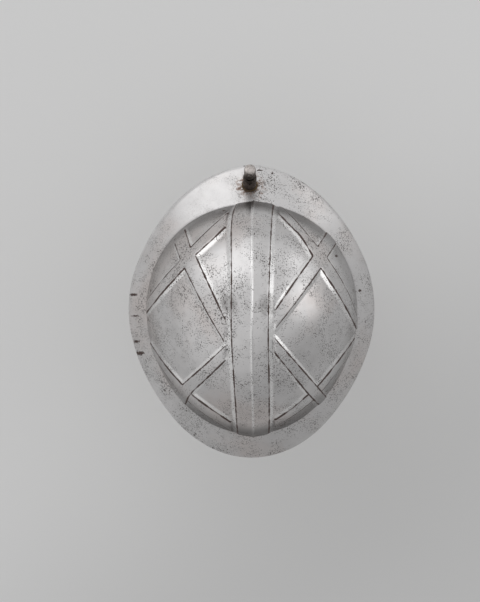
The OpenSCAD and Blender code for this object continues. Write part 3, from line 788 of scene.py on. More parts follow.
def steel_finish():
    f = Finish("old_polished_steel")
    drift, fine_drift = f.clouds(24, 4, 0.6), f.clouds(60, 3, 0.6)
    pitted = largest(pits(f, scale, low, high, drift * share + fine_drift * (1 - share))
                     for scale, low, high, share in PITS)
    pitted = pitted * (1 - f.near(*CLEAN_BRIM, drift) * 0.85)
    worn_line = f.clouds(75, 3, 0.6)
    narrower = f.between(worn_line, 0.38, 0.62, 0.45, 0.0)
    line = f.between(f.layer("cut_line") - narrower, 0.02, 0.35) * f.between(worn_line, 0.3, 0.5, 0.7, 1.0)
    warm = f.between(f.clouds(13, 4, 0.55), 0.42, 0.70)
    colour = f.mixed(warm * 0.8, STEEL, WARM_STEEL)
    cloud = f.between(f.clouds(48, 6, 0.72), 0.35, 0.75)
    colour = f.mixed(cloud * 0.35, colour, CLOUDED_STEEL)
    smudge = f.between(f.clouds(20, 5, 0.65, f.stretched((1, 1, 1), (0.4, 0.2, 0.9))), 0.60, 0.78)
    colour = f.mixed(smudge * 0.45, colour, DULL_STEEL)
    # Painted highlight, partly real rubbed wear, brightens the slopes, the crest and the rim's front left
    wear_and_highlight_mask = f.layer("wear_and_highlight")
    colour = f.mixed(wear_and_highlight_mask * 0.75, colour, WORN_AND_HIGHLIGHT_STEEL)
    # Painted shade at the foot of the crown and in the crease
    colour = f.mixed(f.layer("painted_crease_shade") * 0.92, colour, CREASE_SHADE)
    ragged = f.clouds(260, 4, 0.6)
    # Painted shade near the top of the crown
    for centre, reach in TOP_SHADES:
        colour = f.mixed(f.near(centre, reach, ragged) * 0.5, colour, TOP_SHADE_STEEL)
    spots = f.between(f.clouds(300, 3, 0.6), 0.43, 0.56)
    rust = f.near(STUD_FOOT, RUST_REACH, ragged) * spots
    colour = f.mixed(rust * 0.9, colour, STUD_RUST)
    # Darker round the stud's foot
    colour = f.mixed(f.near(STUD_FOOT, STUD_FOOT_DARK_REACH, ragged) * 0.75, colour, STUD_FOOT_DARK)
    colour = f.mixed(pitted * 0.85, colour, PIT_DIRT)
    torn = f.clouds(420, 5, 0.75)
    marks = largest(crack(f, *mark, torn) for mark in MARKS)
    dark = line.larger(marks)
    colour = f.mixed(dark * 0.97, colour, LINE_DIRT)
    rough = f.between(f.clouds(80, 5, 0.6), 0.3, 0.7, 0.28, 0.38)
    metal = 1 - (dark * 0.85).larger(pitted * 0.45).larger(rust * 0.8)
    scratches = f.clouds(1.0, 3, 0.6, f.stretched((900, 70, 70), (0.3, 0.2, 0.7)))
    height = scratches * 0.3 + cloud * 0.3 - pitted * 1.5 - marks * 3
    rough = rough + pitted * 0.2 + dark * 0.3 - wear_and_highlight_mask * 0.06
    return f.finish(base_color=colour, metallic=metal, roughness=rough, normal=f.bump(height, 0.00007))


steel_plate.data.materials.append(steel_finish())

# %% [markdown]
# ## The stud on the brim
#
# A stout iron stud stands on the front of the brim: a collar with a cross hole, a groove and a plain
# round end. On the real one it was turned on a lathe, so the mesh is turned too: its profile is a row of
# vertices, and Spin carries it once round. Corners are softened in the profile itself, the way wear
# would soften them.

# %% Turned stud
STUD_INSET = 22
STUD_X = 2
STUD_TILT = math.atan((BRIM_DROP - LIP_DROP) / BRIM_FRONT)
STUD_RUN = BRIM_FRONT - STUD_INSET
STUD_PROFILE = [(0, -5.2), (2.1, -5.2), (3.84, -4.7), (4.8, -3.8), (4.8, -3.2), (3, -3.2), (3, 1.0),
                (6.6, 1.0), (7, 1.4), (7.05, 3), (6.9, 8), (7.0, 14.8), (6.7, 15.6), (6.1, 16),
                (4.4, 16.2), (4.25, 17.4), (4.4, 18.8), (5.5, 19), (5.9, 19.4), (6, 20.5), (5.95, 29.6),
                (5.7, 30.5), (5.2, 30.9), (3.2, 31.0), (3.0, 30.85), (2.8, 31.0), (0.9, 31.0), (0.6, 30.6),
                (0, 30.5)]
# Heights along the stud: the middle of the painted shade round its groove, and of the bright spot on its end
GROOVE_SHADE_Z = 18.4
BRIGHT_Z = 33
HOLE_SIDES = 24
PIN_HOLE_D = 2.2
PIN_HOLE_Z = 12
PIN_HOLE_HALF = 9


def on_brim():
    """Matrix that stands a piece on the stud's place, in metres."""
    foot = Vector((STUD_X, AXIS_Y - (CROWN_LEN / 2 - TOP_AHEAD) - STUD_RUN, -STUD_RUN * math.tan(STUD_TILT)))
    return Matrix.Translation(foot * MM) @ Matrix.Rotation(STUD_TILT, 4, "X")


def turned(profile, steps=64):
    """A solid turned round Z from a profile of radius and height in millimetres."""
    bm = bmesh.new()
    row = [bm.verts.new((r * MM, 0, z * MM)) for r, z in profile]
    edges = [bm.edges.new(pair) for pair in zip(row[:-1], row[1:])]
    bmesh.ops.spin(bm, geom=[*row, *edges], cent=(0, 0, 0), axis=(0, 0, 1), angle=math.tau, steps=steps,
                   use_merge=True)
    bmesh.ops.remove_doubles(bm, verts=bm.verts[:], dist=SAME_PLACE)
    bmesh.ops.recalc_face_normals(bm, faces=bm.faces[:])
    return bm


def bored(piece, cutter, operation="DIFFERENCE"):
    """Cuts one object out of another, or joins them, and keeps the result as a plain mesh."""
    cut = piece.modifiers.new("bore", "BOOLEAN")
    cut.object = cutter
    cut.solver = "EXACT"
    cut.operation = operation
    evaluated = piece.evaluated_get(bpy.context.evaluated_depsgraph_get())
    mesh = bpy.data.meshes.new_from_object(evaluated)
    piece.modifiers.remove(cut)
    piece.data = mesh
    bpy.data.objects.remove(cutter)


def sharp_over(piece, degrees):
    """Shades a piece smooth, apart from edges sharper than an angle."""
    bm = bmesh.new()
    bm.from_mesh(piece.data)
    for e in bm.edges:
        e.smooth = len(e.link_faces) == 2 and e.calc_face_angle(0) < math.radians(degrees)
    for face in bm.faces:
        face.smooth = True
    bm.to_mesh(piece.data)
    bm.free()


bm = turned(STUD_PROFILE)
bm.transform(on_brim())
stud = finish_piece(bm, "turned_stud")
drill_r = PIN_HOLE_D / 2
drill = [(0, -PIN_HOLE_HALF), (drill_r, -PIN_HOLE_HALF), (drill_r, PIN_HOLE_HALF), (0, PIN_HOLE_HALF)]
bm = turned(drill, HOLE_SIDES)
bm.transform(on_brim() @ Matrix.Translation((0, 0, PIN_HOLE_Z * MM)) @ Matrix.Rotation(math.pi / 2, 4, "X"))
bored(stud, finish_piece(bm, "pin_hole"))
sharp_over(stud, 38)
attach(stud, "helmet")
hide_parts("front_stud")

# %% [markdown]
# ## Iron, stained steel and brass
#
# The small metal parts are darker than the plate, because no cloth reaches them. One function gives them
# all: a base colour, a stain that gathers in drifts, and a roughness that suits forged iron, turned steel
# or rolled brass.

# %% Finishes of the small metal parts
METAL_GRAIN = 420


def small_metal(name, base, stain, amount, rough, places=()):
    """Stained metal, with places that have a reach and a colour of their own."""
    f = Finish(name)
    blotch = f.between(f.clouds(190, 5, 0.65), 0.62 - amount * 0.4, 0.75 - amount * 0.2)
    fine = f.clouds(METAL_GRAIN, 5, 0.7)
    colour = f.mixed(blotch * 0.9, base, stain)
    for centre, reach, own_colour in places:
        colour = f.mixed(f.near(tuple(centre), reach, f.clouds(300, 3, 0.6)), colour, own_colour)
    colour = f.mixed(f.between(fine, 0.45, 0.72) * 0.35, colour, tuple(c * 0.35 for c in stain))
    height = fine * 0.6 + blotch * 0.5
    return f.finish(base_color=colour, metallic=1 - blotch * 0.55, normal=f.bump(height, 0.00012),
                    roughness=f.between(fine, 0.3, 0.7, rough - 0.06, rough + 0.1) + blotch * 0.2)


# Painted shade round the stud's groove, and a bright spot on its end
stud_steel = small_metal("stained_stud_steel", (0.14, 0.115, 0.10), (0.045, 0.03, 0.024), 0.6, 0.42,
                         places=[(on_brim() @ Vector((0, 0, GROOVE_SHADE_Z * MM)), 0.0105, (0.02, 0.015, 0.012)),
                                 (on_brim() @ Vector((0, 0, BRIGHT_Z * MM)), 0.0100, (0.58, 0.54, 0.52))])
forged_iron = small_metal("forged_iron", (0.20, 0.185, 0.17), (0.085, 0.055, 0.038), 0.5, 0.5)
old_brass = small_metal("old_brass", (0.55, 0.38, 0.16), (0.17, 0.10, 0.045), 0.5, 0.4)
stud.data.materials.append(stud_steel)
IRON_NODES = ["stud_rove", "band_rivets", "band_roves", "strap_rivet_left", "strap_rivet_right",
              "strap_rove_left", "strap_rove_right"]
BRASS_NODES = ["fold_rivets", "strap_chape"]


def dress(names, material):
    """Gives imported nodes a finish, where their own shape is right."""
    for name in names:
        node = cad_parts[name]
        node.data.materials.clear()
        node.data.materials.append(material)


dress(IRON_NODES, forged_iron)
dress(BRASS_NODES, old_brass)
dress(["stud_washer"], small_metal("stained_brass", (0.36, 0.25, 0.12), (0.075, 0.05, 0.032), 0.9, 0.5))
print("dressed nodes:", len(IRON_NODES) + len(BRASS_NODES) + 1)

# %% [markdown]
# ## Oiled leather
#
# Vegetable-tanned leather is brown with lighter patches where it has been bent, and its grain is a net of
# tiny cells. A cell pattern gives the grain its bump, a slow noise gives the uneven colour, and the
# edges are darker because they were rubbed with wax.

# %% Leather finish
def leather_finish(name, base, dark, pale):
    f = Finish(name)
    cell = {"Vector": f.where, "Scale": 900.0, "Randomness": 1.0}
    grain = f.add("TexVoronoi", {"feature": "DISTANCE_TO_EDGE"}, cell, "Distance")
    net = f.between(grain, 0.0, 0.16, 0.0, 1.0)
    slow, fine = f.clouds(45, 4, 0.6), f.clouds(1500, 3, 0.6)
    colour = f.mixed(f.between(slow, 0.35, 0.7), base, dark)
    colour = f.mixed(f.between(f.clouds(140, 5, 0.7), 0.55, 0.75) * 0.5, colour, pale)
    colour = f.mixed((1 - net) * 0.35, colour, tuple(c * 0.4 for c in dark))
    colour = f.mixed(f.layer("edge_wax") * 0.6, colour, tuple(c * 0.5 for c in dark))
    height = net * 0.7 + fine * 0.4 + slow * 1.5
    return f.finish(base_color=colour, roughness=f.between(slow, 0.3, 0.7, 0.50, 0.66),
                    normal=f.bump(height, 0.00016))


strap_leather = leather_finish("oiled_strap_leather", (0.20, 0.085, 0.038), (0.09, 0.038, 0.019),
                               (0.33, 0.17, 0.09))
band_leather = leather_finish("lining_leather", (0.24, 0.12, 0.058), (0.13, 0.06, 0.030), (0.36, 0.21, 0.12))
dress(["strap_washer_left", "strap_washer_right"], strap_leather)

# %% [markdown]
# ## The leather band inside the crown
#
# A strip of leather runs round the inside of the crown's foot, held by twelve rivets. Its section is a
# slim rectangle with rounded edges, which follows the wall of the crown. The section is spun into a flat
# ring first, and then each vertex is moved to the wall: the same way as the plate was made.

# %% Places inside the wall
BAND_BOTTOM = 3
BAND_H_IN = 26
BAND_DEPTH = 2.2
BAND_T = 2
BAND_SECTORS = 180


def in_wall(t, z, depth):
    """Points at a height on the wall and a depth below its outer face, in millimetres."""
    q = share_at(z)
    rise = CROWN_H / (1 - CUT_H) * CUT * CUT * q / np.sqrt(1 - (CUT * q) ** 2) / crown_r(t)
    a = np.arctan(rise)
    radius = q * crown_r(t) - depth * np.sin(a)
    return np.stack([radius * np.sin(t), AXIS_Y - radius * np.cos(t), z - depth * np.cos(a)], axis=1)


def spun_section(section, sectors, closed=True):
    """A section spun into a ring: x and y keep the turn, z keeps the number of the section's point."""
    bm = bmesh.new()
    row = [bm.verts.new((0, -1, i)) for i in range(len(section))]
    edges = [bm.edges.new((row[i - 1], row[i])) for i in range(0 if closed else 1, len(row))]
    bmesh.ops.spin(bm, geom=[*row, *edges], cent=(0, 0, 0), axis=(0, 0, 1), angle=math.tau, steps=sectors,
                   use_merge=True)
    bmesh.ops.remove_doubles(bm, verts=bm.verts[:], dist=SAME_PLACE)
    return bm


def read_section(bm, section):
    """Turn of each vertex, and the two numbers of its point of the section."""
    xyz = np.array([v.co[:] for v in bm.verts])
    return np.arctan2(xyz[:, 0], -xyz[:, 1]), *np.array(section)[np.rint(xyz[:, 2]).astype(int)].T


# Section of the leather: height above the band's lower edge, and depth from its outer face
LEATHER_EDGE = [(0, 0.5), (0, 1.5), (0.5, BAND_T), (2.0, BAND_T), (2.5, 1.85), (3.0, BAND_T), (8, BAND_T)]
LEATHER_SECTION = [*LEATHER_EDGE, (BAND_H_IN / 2, BAND_T + 0.05)]
LEATHER_SECTION += [(BAND_H_IN - along, deep) for along, deep in reversed(LEATHER_EDGE)]
LEATHER_SECTION += [(BAND_H_IN - 0.5, 0), (BAND_H_IN / 2, 0), (0.5, 0)]
bm = spun_section(LEATHER_SECTION, BAND_SECTORS)
t, above, below = read_section(bm, LEATHER_SECTION)
points = in_wall(t, BAND_BOTTOM + above, BAND_DEPTH + below)
for v, p in zip(bm.verts, points):
    v.co = Vector(p) * MM
bmesh.ops.recalc_face_normals(bm, faces=bm.faces[:])
leather_band = finish_piece(bm, "leather_band")
leather_band.data.materials.append(band_leather)
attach(leather_band, "helmet")
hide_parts("lining_band")

# %% [markdown]
# ## Stitches
#
# Waxed thread shows as a row of short rounded stitches. One stitch is a small ball of a few dozen faces,
# drawn out and laid along the seam, and repeated. All stitches of a seam are one mesh.

# %% A row of stitches
STITCH_FACES = (8, 5)


def stitches(name, places, length, width, body, material):
    """A mesh of stitches; each place is a point, a direction along the seam and a normal."""
    bm = bmesh.new()
    for point, along, up in places:
        z = Vector(up).normalized()
        x = (Vector(along) - z * Vector(along).dot(z)).normalized()
        axes = Matrix((x, z.cross(x), z)).transposed().to_4x4()
        size = Matrix.Diagonal((length / 2 * MM, width / 2 * MM, width / 2 * MM, 1))
        bmesh.ops.create_uvsphere(bm, u_segments=STITCH_FACES[0], v_segments=STITCH_FACES[1], radius=1,
                                  matrix=Matrix.Translation(Vector(point) * MM) @ axes @ size)
    made = finish_piece(bm, name)
    made.data.materials.append(material)
    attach(made, body)
    return made


def thread_finish():
    f = Finish("waxed_thread")
    twist = f.clouds(1400, 3, 0.6)
    colour = f.mixed(twist, (0.62, 0.54, 0.40), (0.38, 0.31, 0.21))
    return f.finish(base_color=colour, roughness=0.7, normal=f.bump(twist, 0.0001))


thread = thread_finish()
SEAM_STITCHES = 168
SEAM_Z = BAND_BOTTOM + 24.7
SEAM_IN = BAND_DEPTH + BAND_T + 0.15
turns = np.arange(SEAM_STITCHES) * math.tau / SEAM_STITCHES
seam = in_wall(turns, SEAM_Z, SEAM_IN)
ahead = in_wall(turns + 0.01, SEAM_Z, SEAM_IN) - seam
inward = in_wall(turns, SEAM_Z, SEAM_IN + 1) - seam
stitches("band_stitches", zip(seam, ahead, inward), 2.6, 0.75, "helmet", thread)

# %% [markdown]
# ## The quilted linen cap
#
# The cap is sewn from linen in sixteen gores and padded with tow. Along each seam the padding is drawn
# flat, and between the seams it swells. Its section is spun round like the leather's, and each vertex is
# then moved below the wall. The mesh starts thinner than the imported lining, because Cloth blows it up in
# the next cell.

# %% Shape of the cap before it swells
CHANNELS = 16
CAP_DEPTH = BAND_DEPTH + 0.1
GORE_SECTORS = 12
CAP_RINGS = 26
QUILT_T = 11
QUILT_FOOT = BAND_BOTTOM + BAND_H_IN + 0.4 + QUILT_T / 4
START_THINNER = 2.2
SEAM_DEPTH = 3.6
# A seam draws the cap in over this many faces to either side, up to this share of the way to the top
SEAM_FACES = 1.1
SEAM_END = 0.93
# The cap starts at this share of its thickness at the foot, and has all of it an eighth of the way up
FOOT_THICKNESS = 0.82
OUT_ROWS = 7
FOOT_SHARES = (0.05, 0.3, 0.7, 0.95)
FOOT_BULGE = 1.2
# The hem's stitches nearly hold the cap near this share of the way, and all is held near the top
HEM_WAY = 0.07
HEM_REACH = 0.025
HEM_HELD = 0.9
HELD_FROM = 0.97
AT_TOP = 0.999


def cap_height(way):
    """Height on the wall at a share of the way from the cap's foot to its top."""
    top = math.asin(CUT * share_at(QUILT_FOOT))
    return np.minimum(dome(np.sin(top * (1 - way)) / CUT), CROWN_H - 0.001)


def seam_share(t, way):
    """1 on a seam between two gores and 0 a little way from it; the seams end below the top."""
    gore_place = np.abs((t * CHANNELS / math.tau + 0.5) % 1 - 0.5) * 2
    return np.clip(1 - gore_place * GORE_SECTORS / (2 * SEAM_FACES), 0, 1) * (way < SEAM_END)


def cap_thickness(t, way):
    """Thickness of the cap in millimetres before it swells."""
    drawn = SEAM_DEPTH * seam_share(t, way) * np.clip(1.2 - way, 0.3, 1)
    full = FOOT_THICKNESS + (1 - FOOT_THICKNESS) * np.clip(way * 8, 0, 1)
    return (QUILT_T - START_THINNER - drawn) * full


# The section goes from the top down the outer face, round the foot and up the inner face
cap_section = [(1 - i / OUT_ROWS, 0.0) for i in range(OUT_ROWS + 1)]
cap_section += [(-math.sin(math.pi * share), share) for share in FOOT_SHARES]
cap_section += [(i / CAP_RINGS, 1.0) for i in range(CAP_RINGS + 1)]
bm = spun_section(cap_section, CHANNELS * GORE_SECTORS, closed=False)
t, way, share = read_section(bm, cap_section)
round_foot = np.minimum(way, 0)
way = np.maximum(way, 0)
thick = cap_thickness(t, way)
points = in_wall(t, cap_height(way), CAP_DEPTH + thick * share)
points[:, 2] += round_foot * FOOT_BULGE
pole = way > AT_TOP
points[pole] = np.stack([points[pole, 0] * 0, points[pole, 1] * 0 + AXIS_Y,
                         CROWN_H - CAP_DEPTH - thick[pole] * share[pole]], axis=1)
at_foot = (round_foot < 0) | (way < 1 - AT_TOP)
at_hem = (np.abs(way - HEM_WAY) < HEM_REACH) & (share > 0.5)
held = np.where((seam_share(t, way) > 0.5) | (share < 0.5) | (way > HELD_FROM) | at_foot, 1.0, 0.0)
held = np.maximum(held, np.where(at_hem, HEM_HELD, 0.0))
layer = {name: bm.verts.layers.float.new(name) for name in ("held", "way")}
for v, p, h, w in zip(bm.verts, points, held, way):
    v.co = Vector(p) * MM
    v[layer["held"]] = h
    v[layer["way"]] = w
bmesh.ops.remove_doubles(bm, verts=bm.verts[:], dist=SAME_PLACE)
bmesh.ops.recalc_face_normals(bm, faces=bm.faces[:])

# The weave follows the gores: across each gore from its middle, and along it from its foot
GORE_LENGTH = 0.16
uv = bm.loops.layers.uv.new("gores")
for face in bm.faces:
    centre = face.calc_center_median()
    middle = math.floor(math.atan2(centre.x, -centre.y + AXIS_Y * MM) * CHANNELS / math.tau) + 0.5
    middle *= math.tau / CHANNELS
    for loop in face.loops:
        x, y = loop.vert.co.x, AXIS_Y * MM - loop.vert.co.y
        turn = (math.atan2(x, y) - middle + math.pi) % math.tau - math.pi
        loop[uv].uv = (turn * math.hypot(x, y), loop.vert[layer["way"]] * GORE_LENGTH)
cap = finish_piece(bm, "quilted_cap")
print("cap before it swells:", len(cap.data.vertices), "points,", int(held.sum()), "held")

# %% [markdown]
# ## Cloth swells the cap
#
# Held points stay, and air pressure inside the closed mesh pushes the rest out, as the tow does in a real
# quilt. The reach of each point is limited, so that the cap leaves room for the head. The result is
# written into the mesh and the modifier is taken off, so the shape is the same in every view.

# %% Swell and soften
SWELL_MOST = 2.8
SWELL_FRAMES = 20
PRESSURE = 4
QUALITY = 4


def swell(piece, weights, most):
    """Blows a closed mesh up with Cloth, with a limit in millimetres, and keeps the result."""
    group = piece.vertex_groups.new(name="held")
    for i, weight in enumerate(weights):
        group.add([i], float(weight), "REPLACE")
    cloth = piece.modifiers.new("swell", "CLOTH")
    cloth.settings.use_pressure = True
    cloth.settings.uniform_pressure_force = PRESSURE
    cloth.settings.effector_weights.gravity = 0
    cloth.settings.vertex_group_mass = "held"
    cloth.settings.quality = QUALITY
    cloth.collision_settings.use_collision = False
    cloth.point_cache.frame_end = SWELL_FRAMES
    before = np.array([v.co[:] for v in piece.data.vertices])
    for frame_number in range(1, SWELL_FRAMES + 1):
        bpy.context.scene.frame_set(frame_number)
    evaluated = piece.evaluated_get(bpy.context.evaluated_depsgraph_get())
    after = np.array([v.co[:] for v in evaluated.data.vertices])
    move = after - before
    size = np.linalg.norm(move, axis=1, keepdims=True)
    print("swell in mm, middle and most:", np.round([np.median(size) / MM, size.max() / MM], 2))
    move *= np.minimum(1, most * MM / np.maximum(size, SMALLEST))
    piece.modifiers.remove(cloth)
    bpy.context.scene.frame_set(1)
    for v, co in zip(piece.data.vertices, before + move):
        v.co = co


swell(cap, [value.value for value in cap.data.attributes["held"].data], SWELL_MOST)
softer = cap.modifiers.new("softer", "SUBSURF")
softer.levels = 1
softer.render_levels = 1
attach(cap, "helmet")
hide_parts("quilted_lining")

# %% [markdown]
# ## Linen weave and the seams of the cap
#
# Linen is a plain weave: each thread goes over one and under the next. Two sine waves multiplied give that
# chequer of bumps, along the cap's own UV map, so that the weave turns with each gore. Uneven threads come
# from noise that is stretched along one direction.

# %% Linen finish and stitched seams
THREAD_PITCH = 0.0011
LINEN = (0.66, 0.60, 0.47)
AGED_LINEN = (0.53, 0.46, 0.34)
DARK_THREADS = (0.42, 0.36, 0.26)
WORN_LINEN = (0.30, 0.23, 0.15)
# The cap is dark below the first of these heights, where the brow touched it, and clean above the other
WORN_BELOW = (0.030, 0.052)


def linen_finish():
    f = Finish("unbleached_linen")
    gores = f.add("UVMap", {"uv_map": "gores"})
    turns_across = f.part(gores, "X") * (math.pi / THREAD_PITCH)
    turns_along = f.part(gores, "Y") * (math.pi / THREAD_PITCH)
    over = turns_across.maths("SINE", turns_across) * turns_along.maths("SINE", turns_along)
    slubs = f.clouds(1, 3, 0.6, f.add("Mapping", None, {"Vector": gores, "Scale": (900, 60, 1)}))
    slubs_too = f.clouds(1, 3, 0.6, f.add("Mapping", None, {"Vector": gores, "Scale": (60, 900, 1)}))
    cloud = f.clouds(35, 5, 0.6)
    colour = f.mixed(f.between(cloud, 0.35, 0.7), LINEN, AGED_LINEN)
    colour = f.mixed(f.between(slubs * 0.5 + slubs_too * 0.5, 0.42, 0.6) * 0.4, colour, DARK_THREADS)
    worn = f.between(f.part(f.where, "Z") + (cloud - 0.5) * 0.02, *WORN_BELOW, 1.0, 0.0)
    colour = f.mixed(worn * 0.55, colour, WORN_LINEN)
    height = over * 0.5 + slubs * 0.4 + slubs_too * 0.4 + f.clouds(160, 4, 0.6) * 1.6
    return f.finish(base_color=colour, roughness=0.92, sheen_weight=0.15, normal=f.bump(height, 0.00035))


cap.data.materials.append(linen_finish())
SEAM_STEP = 5.2
SEAM_WAYS = (0.10, 0.90)
HEM_STITCHES = 150


def inside_cap(turns, ways, further):
    """Points further in than the cap's inner face before it swells, in millimetres."""
    return in_wall(turns, cap_height(ways), CAP_DEPTH + cap_thickness(turns, ways) + further)


places = []
for turn in np.arange(CHANNELS) * math.tau / CHANNELS:
    for way in np.arange(*SEAM_WAYS, SEAM_STEP * MM / GORE_LENGTH):
        both, ways = np.array([turn, turn]), np.array([way, way + 0.01])
        low, high = inside_cap(both, ways, 0.1)
        places.append((low, high - low, inside_cap(both, ways, 1.1)[0] - low))
stitches("gore_stitches", places, 3.0, 0.8, "helmet", thread)
turns = np.arange(HEM_STITCHES) * math.tau / HEM_STITCHES
ways = np.full(HEM_STITCHES, HEM_WAY)
hem = inside_cap(turns, ways, 0)
ahead = np.roll(hem, -1, axis=0) - hem
inward = inside_cap(turns, ways, 9) - hem
stitches("hem_stitches", zip(hem, ahead, inward), 2.6, 0.8, "helmet", thread)

# %% [markdown]
# ## Leather straps
#
# A strap is cut flat, creased along its edges with a hot iron and then bent. The mesh is made in that
# order: a section with rounded edges and a crease is extruded along the strap's length, and a formula
# then bends the flat strap to its place. Holes are punched with a Boolean.

# %% Flat strap
STRAP_W = 18
STRAP_T = 2.2
# Distance of the straps' inner face from the middle, which the crown's wall sets
STRAP_IN = 97.1893
PIVOT_Z = 8
PIVOT_HOLE_D = 4.1
# Section of a strap: share of half the width, and height above the inner face in millimetres
STRAP_EDGE = [(0.5, 0), (0.96, 0), (0.99, 0.2), (1, 0.6), (1, 1.6), (0.985, 1.95), (0.95, 2.14),
              (0.87, STRAP_T), (0.845, 1.98), (0.82, STRAP_T), (0.4, STRAP_T)]
OTHER_EDGE = [(-across, high) for across, high in reversed(STRAP_EDGE)]
STRAP_SECTION = OTHER_EDGE[-2:] + STRAP_EDGE + OTHER_EDGE[:-2]
WAXED_FROM = 0.94
# Length of a punch, in metres: it reaches well past a strap on either side
PUNCH_LEN = 0.5


def flat_strap(stations, half_width, section, closed=False):
    """Extrudes a section along x, with y across the strap and z through it, in millimetres."""
    bm = bmesh.new()
    wax = bm.verts.layers.float.new("edge_wax")
    first = half_width(stations[0])
    row = [bm.verts.new((stations[0], y * first, z)) for y, z in section]
    for v, (y, _) in zip(row, section):
        v[wax] = float(abs(y) > WAXED_FROM)
    start = bm.faces.new(row)
    edges = start.edges[:]
    for a, b in zip(stations, stations[1:]):
        made = bmesh.ops.extrude_edge_only(bm, edges=edges)["geom"]
        edges = [e for e in made if isinstance(e, bmesh.types.BMEdge)]
        moved = [v for v in made if isinstance(v, bmesh.types.BMVert)]
        edges = [e for e in edges if e.verts[0] in moved and e.verts[1] in moved]
        bmesh.ops.translate(bm, verts=moved, vec=(b - a, 0, 0))
        bmesh.ops.scale(bm, verts=moved, vec=(1, half_width(b) / half_width(a), 1))
    if closed:
        bmesh.ops.delete(bm, geom=[start], context="FACES_ONLY")
    else:
        bmesh.ops.contextual_create(bm, geom=edges)
    return bm


def bend(bm, formula):
    """Moves each vertex of a flat strap to formula(length, width, thickness), from mm to metres."""
    for v in bm.verts:
        v.co = Vector(formula(*v.co)) * MM
    bmesh.ops.remove_doubles(bm, verts=bm.verts[:], dist=SAME_PLACE)
    bmesh.ops.recalc_face_normals(bm, faces=bm.faces[:])


def punch(piece, holes):
    """Punches round holes along X: each is a place y, z and a diameter in millimetres."""
    bm = bmesh.new()
    for y, z, d in holes:
        turn = Matrix.Rotation(math.pi / 2, 4, "Y")
        bmesh.ops.create_cone(bm, cap_ends=True, segments=HOLE_SIDES, radius1=d / 2 * MM, radius2=d / 2 * MM,
                              depth=PUNCH_LEN, matrix=Matrix.Translation((0, y * MM, z * MM)) @ turn)
    bored(piece, finish_piece(bm, "punch"))


def head_width(u):
    """Half the width of a strap whose end is round, at a distance from that end."""
    half = STRAP_W / 2
    return math.sqrt(max(half ** 2 - max(half - u, 0) ** 2, 0))


# Distances from a strap's round end at which its section is repeated
HEAD_STATIONS = [0.02, 0.3, 0.9, 1.8, 3, 4.5, 6.5, 9]

# %% Tongue strap with its row of holes
TONGUE_LEN = 254
POINT_H = STRAP_W * math.sqrt(3) / 2
TIP_Z = PIVOT_Z + STRAP_W / 2 - TONGUE_LEN
HOLE_D = 3.4
HOLES_FROM_TIP = 32
HOLE_STEP = 12
HOLES = 6
CHAPE_PIN_D = 1.9
CHAPE_PIN_FROM_TIP = 9.8


def tongue_half(u):
    """Half the width: round at the head, pointed at the tip."""
    from_tip = TONGUE_LEN - u
    if from_tip < POINT_H:
        return math.sqrt(STRAP_W ** 2 - (POINT_H - from_tip) ** 2) - STRAP_W / 2
    return head_width(u)


straight = list(np.linspace(15, TONGUE_LEN - POINT_H, 44))
tip = [TONGUE_LEN - POINT_H * k for k in (0.85, 0.65, 0.45, 0.28, 0.14, 0.05, 0.004)]
bm = flat_strap(HEAD_STATIONS + straight + tip, tongue_half, STRAP_SECTION)
bend(bm, lambda u, y, w: (-STRAP_IN - w, y, PIVOT_Z + STRAP_W / 2 - u))
tongue_strap = finish_piece(bm, "tongue_strap_leather")
punch(tongue_strap, [(0, PIVOT_Z, PIVOT_HOLE_D), (0, TIP_Z + CHAPE_PIN_FROM_TIP, CHAPE_PIN_D)]
      + [(0, TIP_Z + HOLES_FROM_TIP + i * HOLE_STEP, HOLE_D) for i in range(HOLES)])
sharp_over(tongue_strap, 50)
tongue_strap.data.materials.append(strap_leather)
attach(tongue_strap, "tongue_side")
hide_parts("tongue_strap")

# %% Buckle strap, folded round the bar
BAR_X = 95.5393
BAR_Z = -87
BAR_BORE = 1.65
FOLD_LEN = 28
FOLD_RISE = 12
LEAF_GAP = 1.5
SLOT_W = 4.4
SLOT_TOP = 10
SLOT_DEPTH = 30
SLOT_ROUND = 0.45
FOLD_RIVET_D = 2.5
FRONT_LEN = PIVOT_Z + STRAP_W / 2 - BAR_Z
ROUND_LEN = math.pi * (BAR_BORE + STRAP_T / 2)


def round_bar(u, y, w):
    """Down the front leaf, half round the bar and up the back leaf."""
    if u < FRONT_LEN:
        return STRAP_IN + w, y, PIVOT_Z + STRAP_W / 2 - u
    if u < FRONT_LEN + ROUND_LEN:
        a = (u - FRONT_LEN) / ROUND_LEN * math.pi
        return BAR_X + (BAR_BORE + w) * math.cos(a), y, BAR_Z - (BAR_BORE + w) * math.sin(a)
    rise = u - FRONT_LEN - ROUND_LEN
    f = min(max((rise - 1) / (FOLD_RISE - 1), 0), 1)
    return BAR_X - BAR_BORE + (BAR_BORE + LEAF_GAP) * f * f * (3 - 2 * f) - w, y, BAR_Z + rise


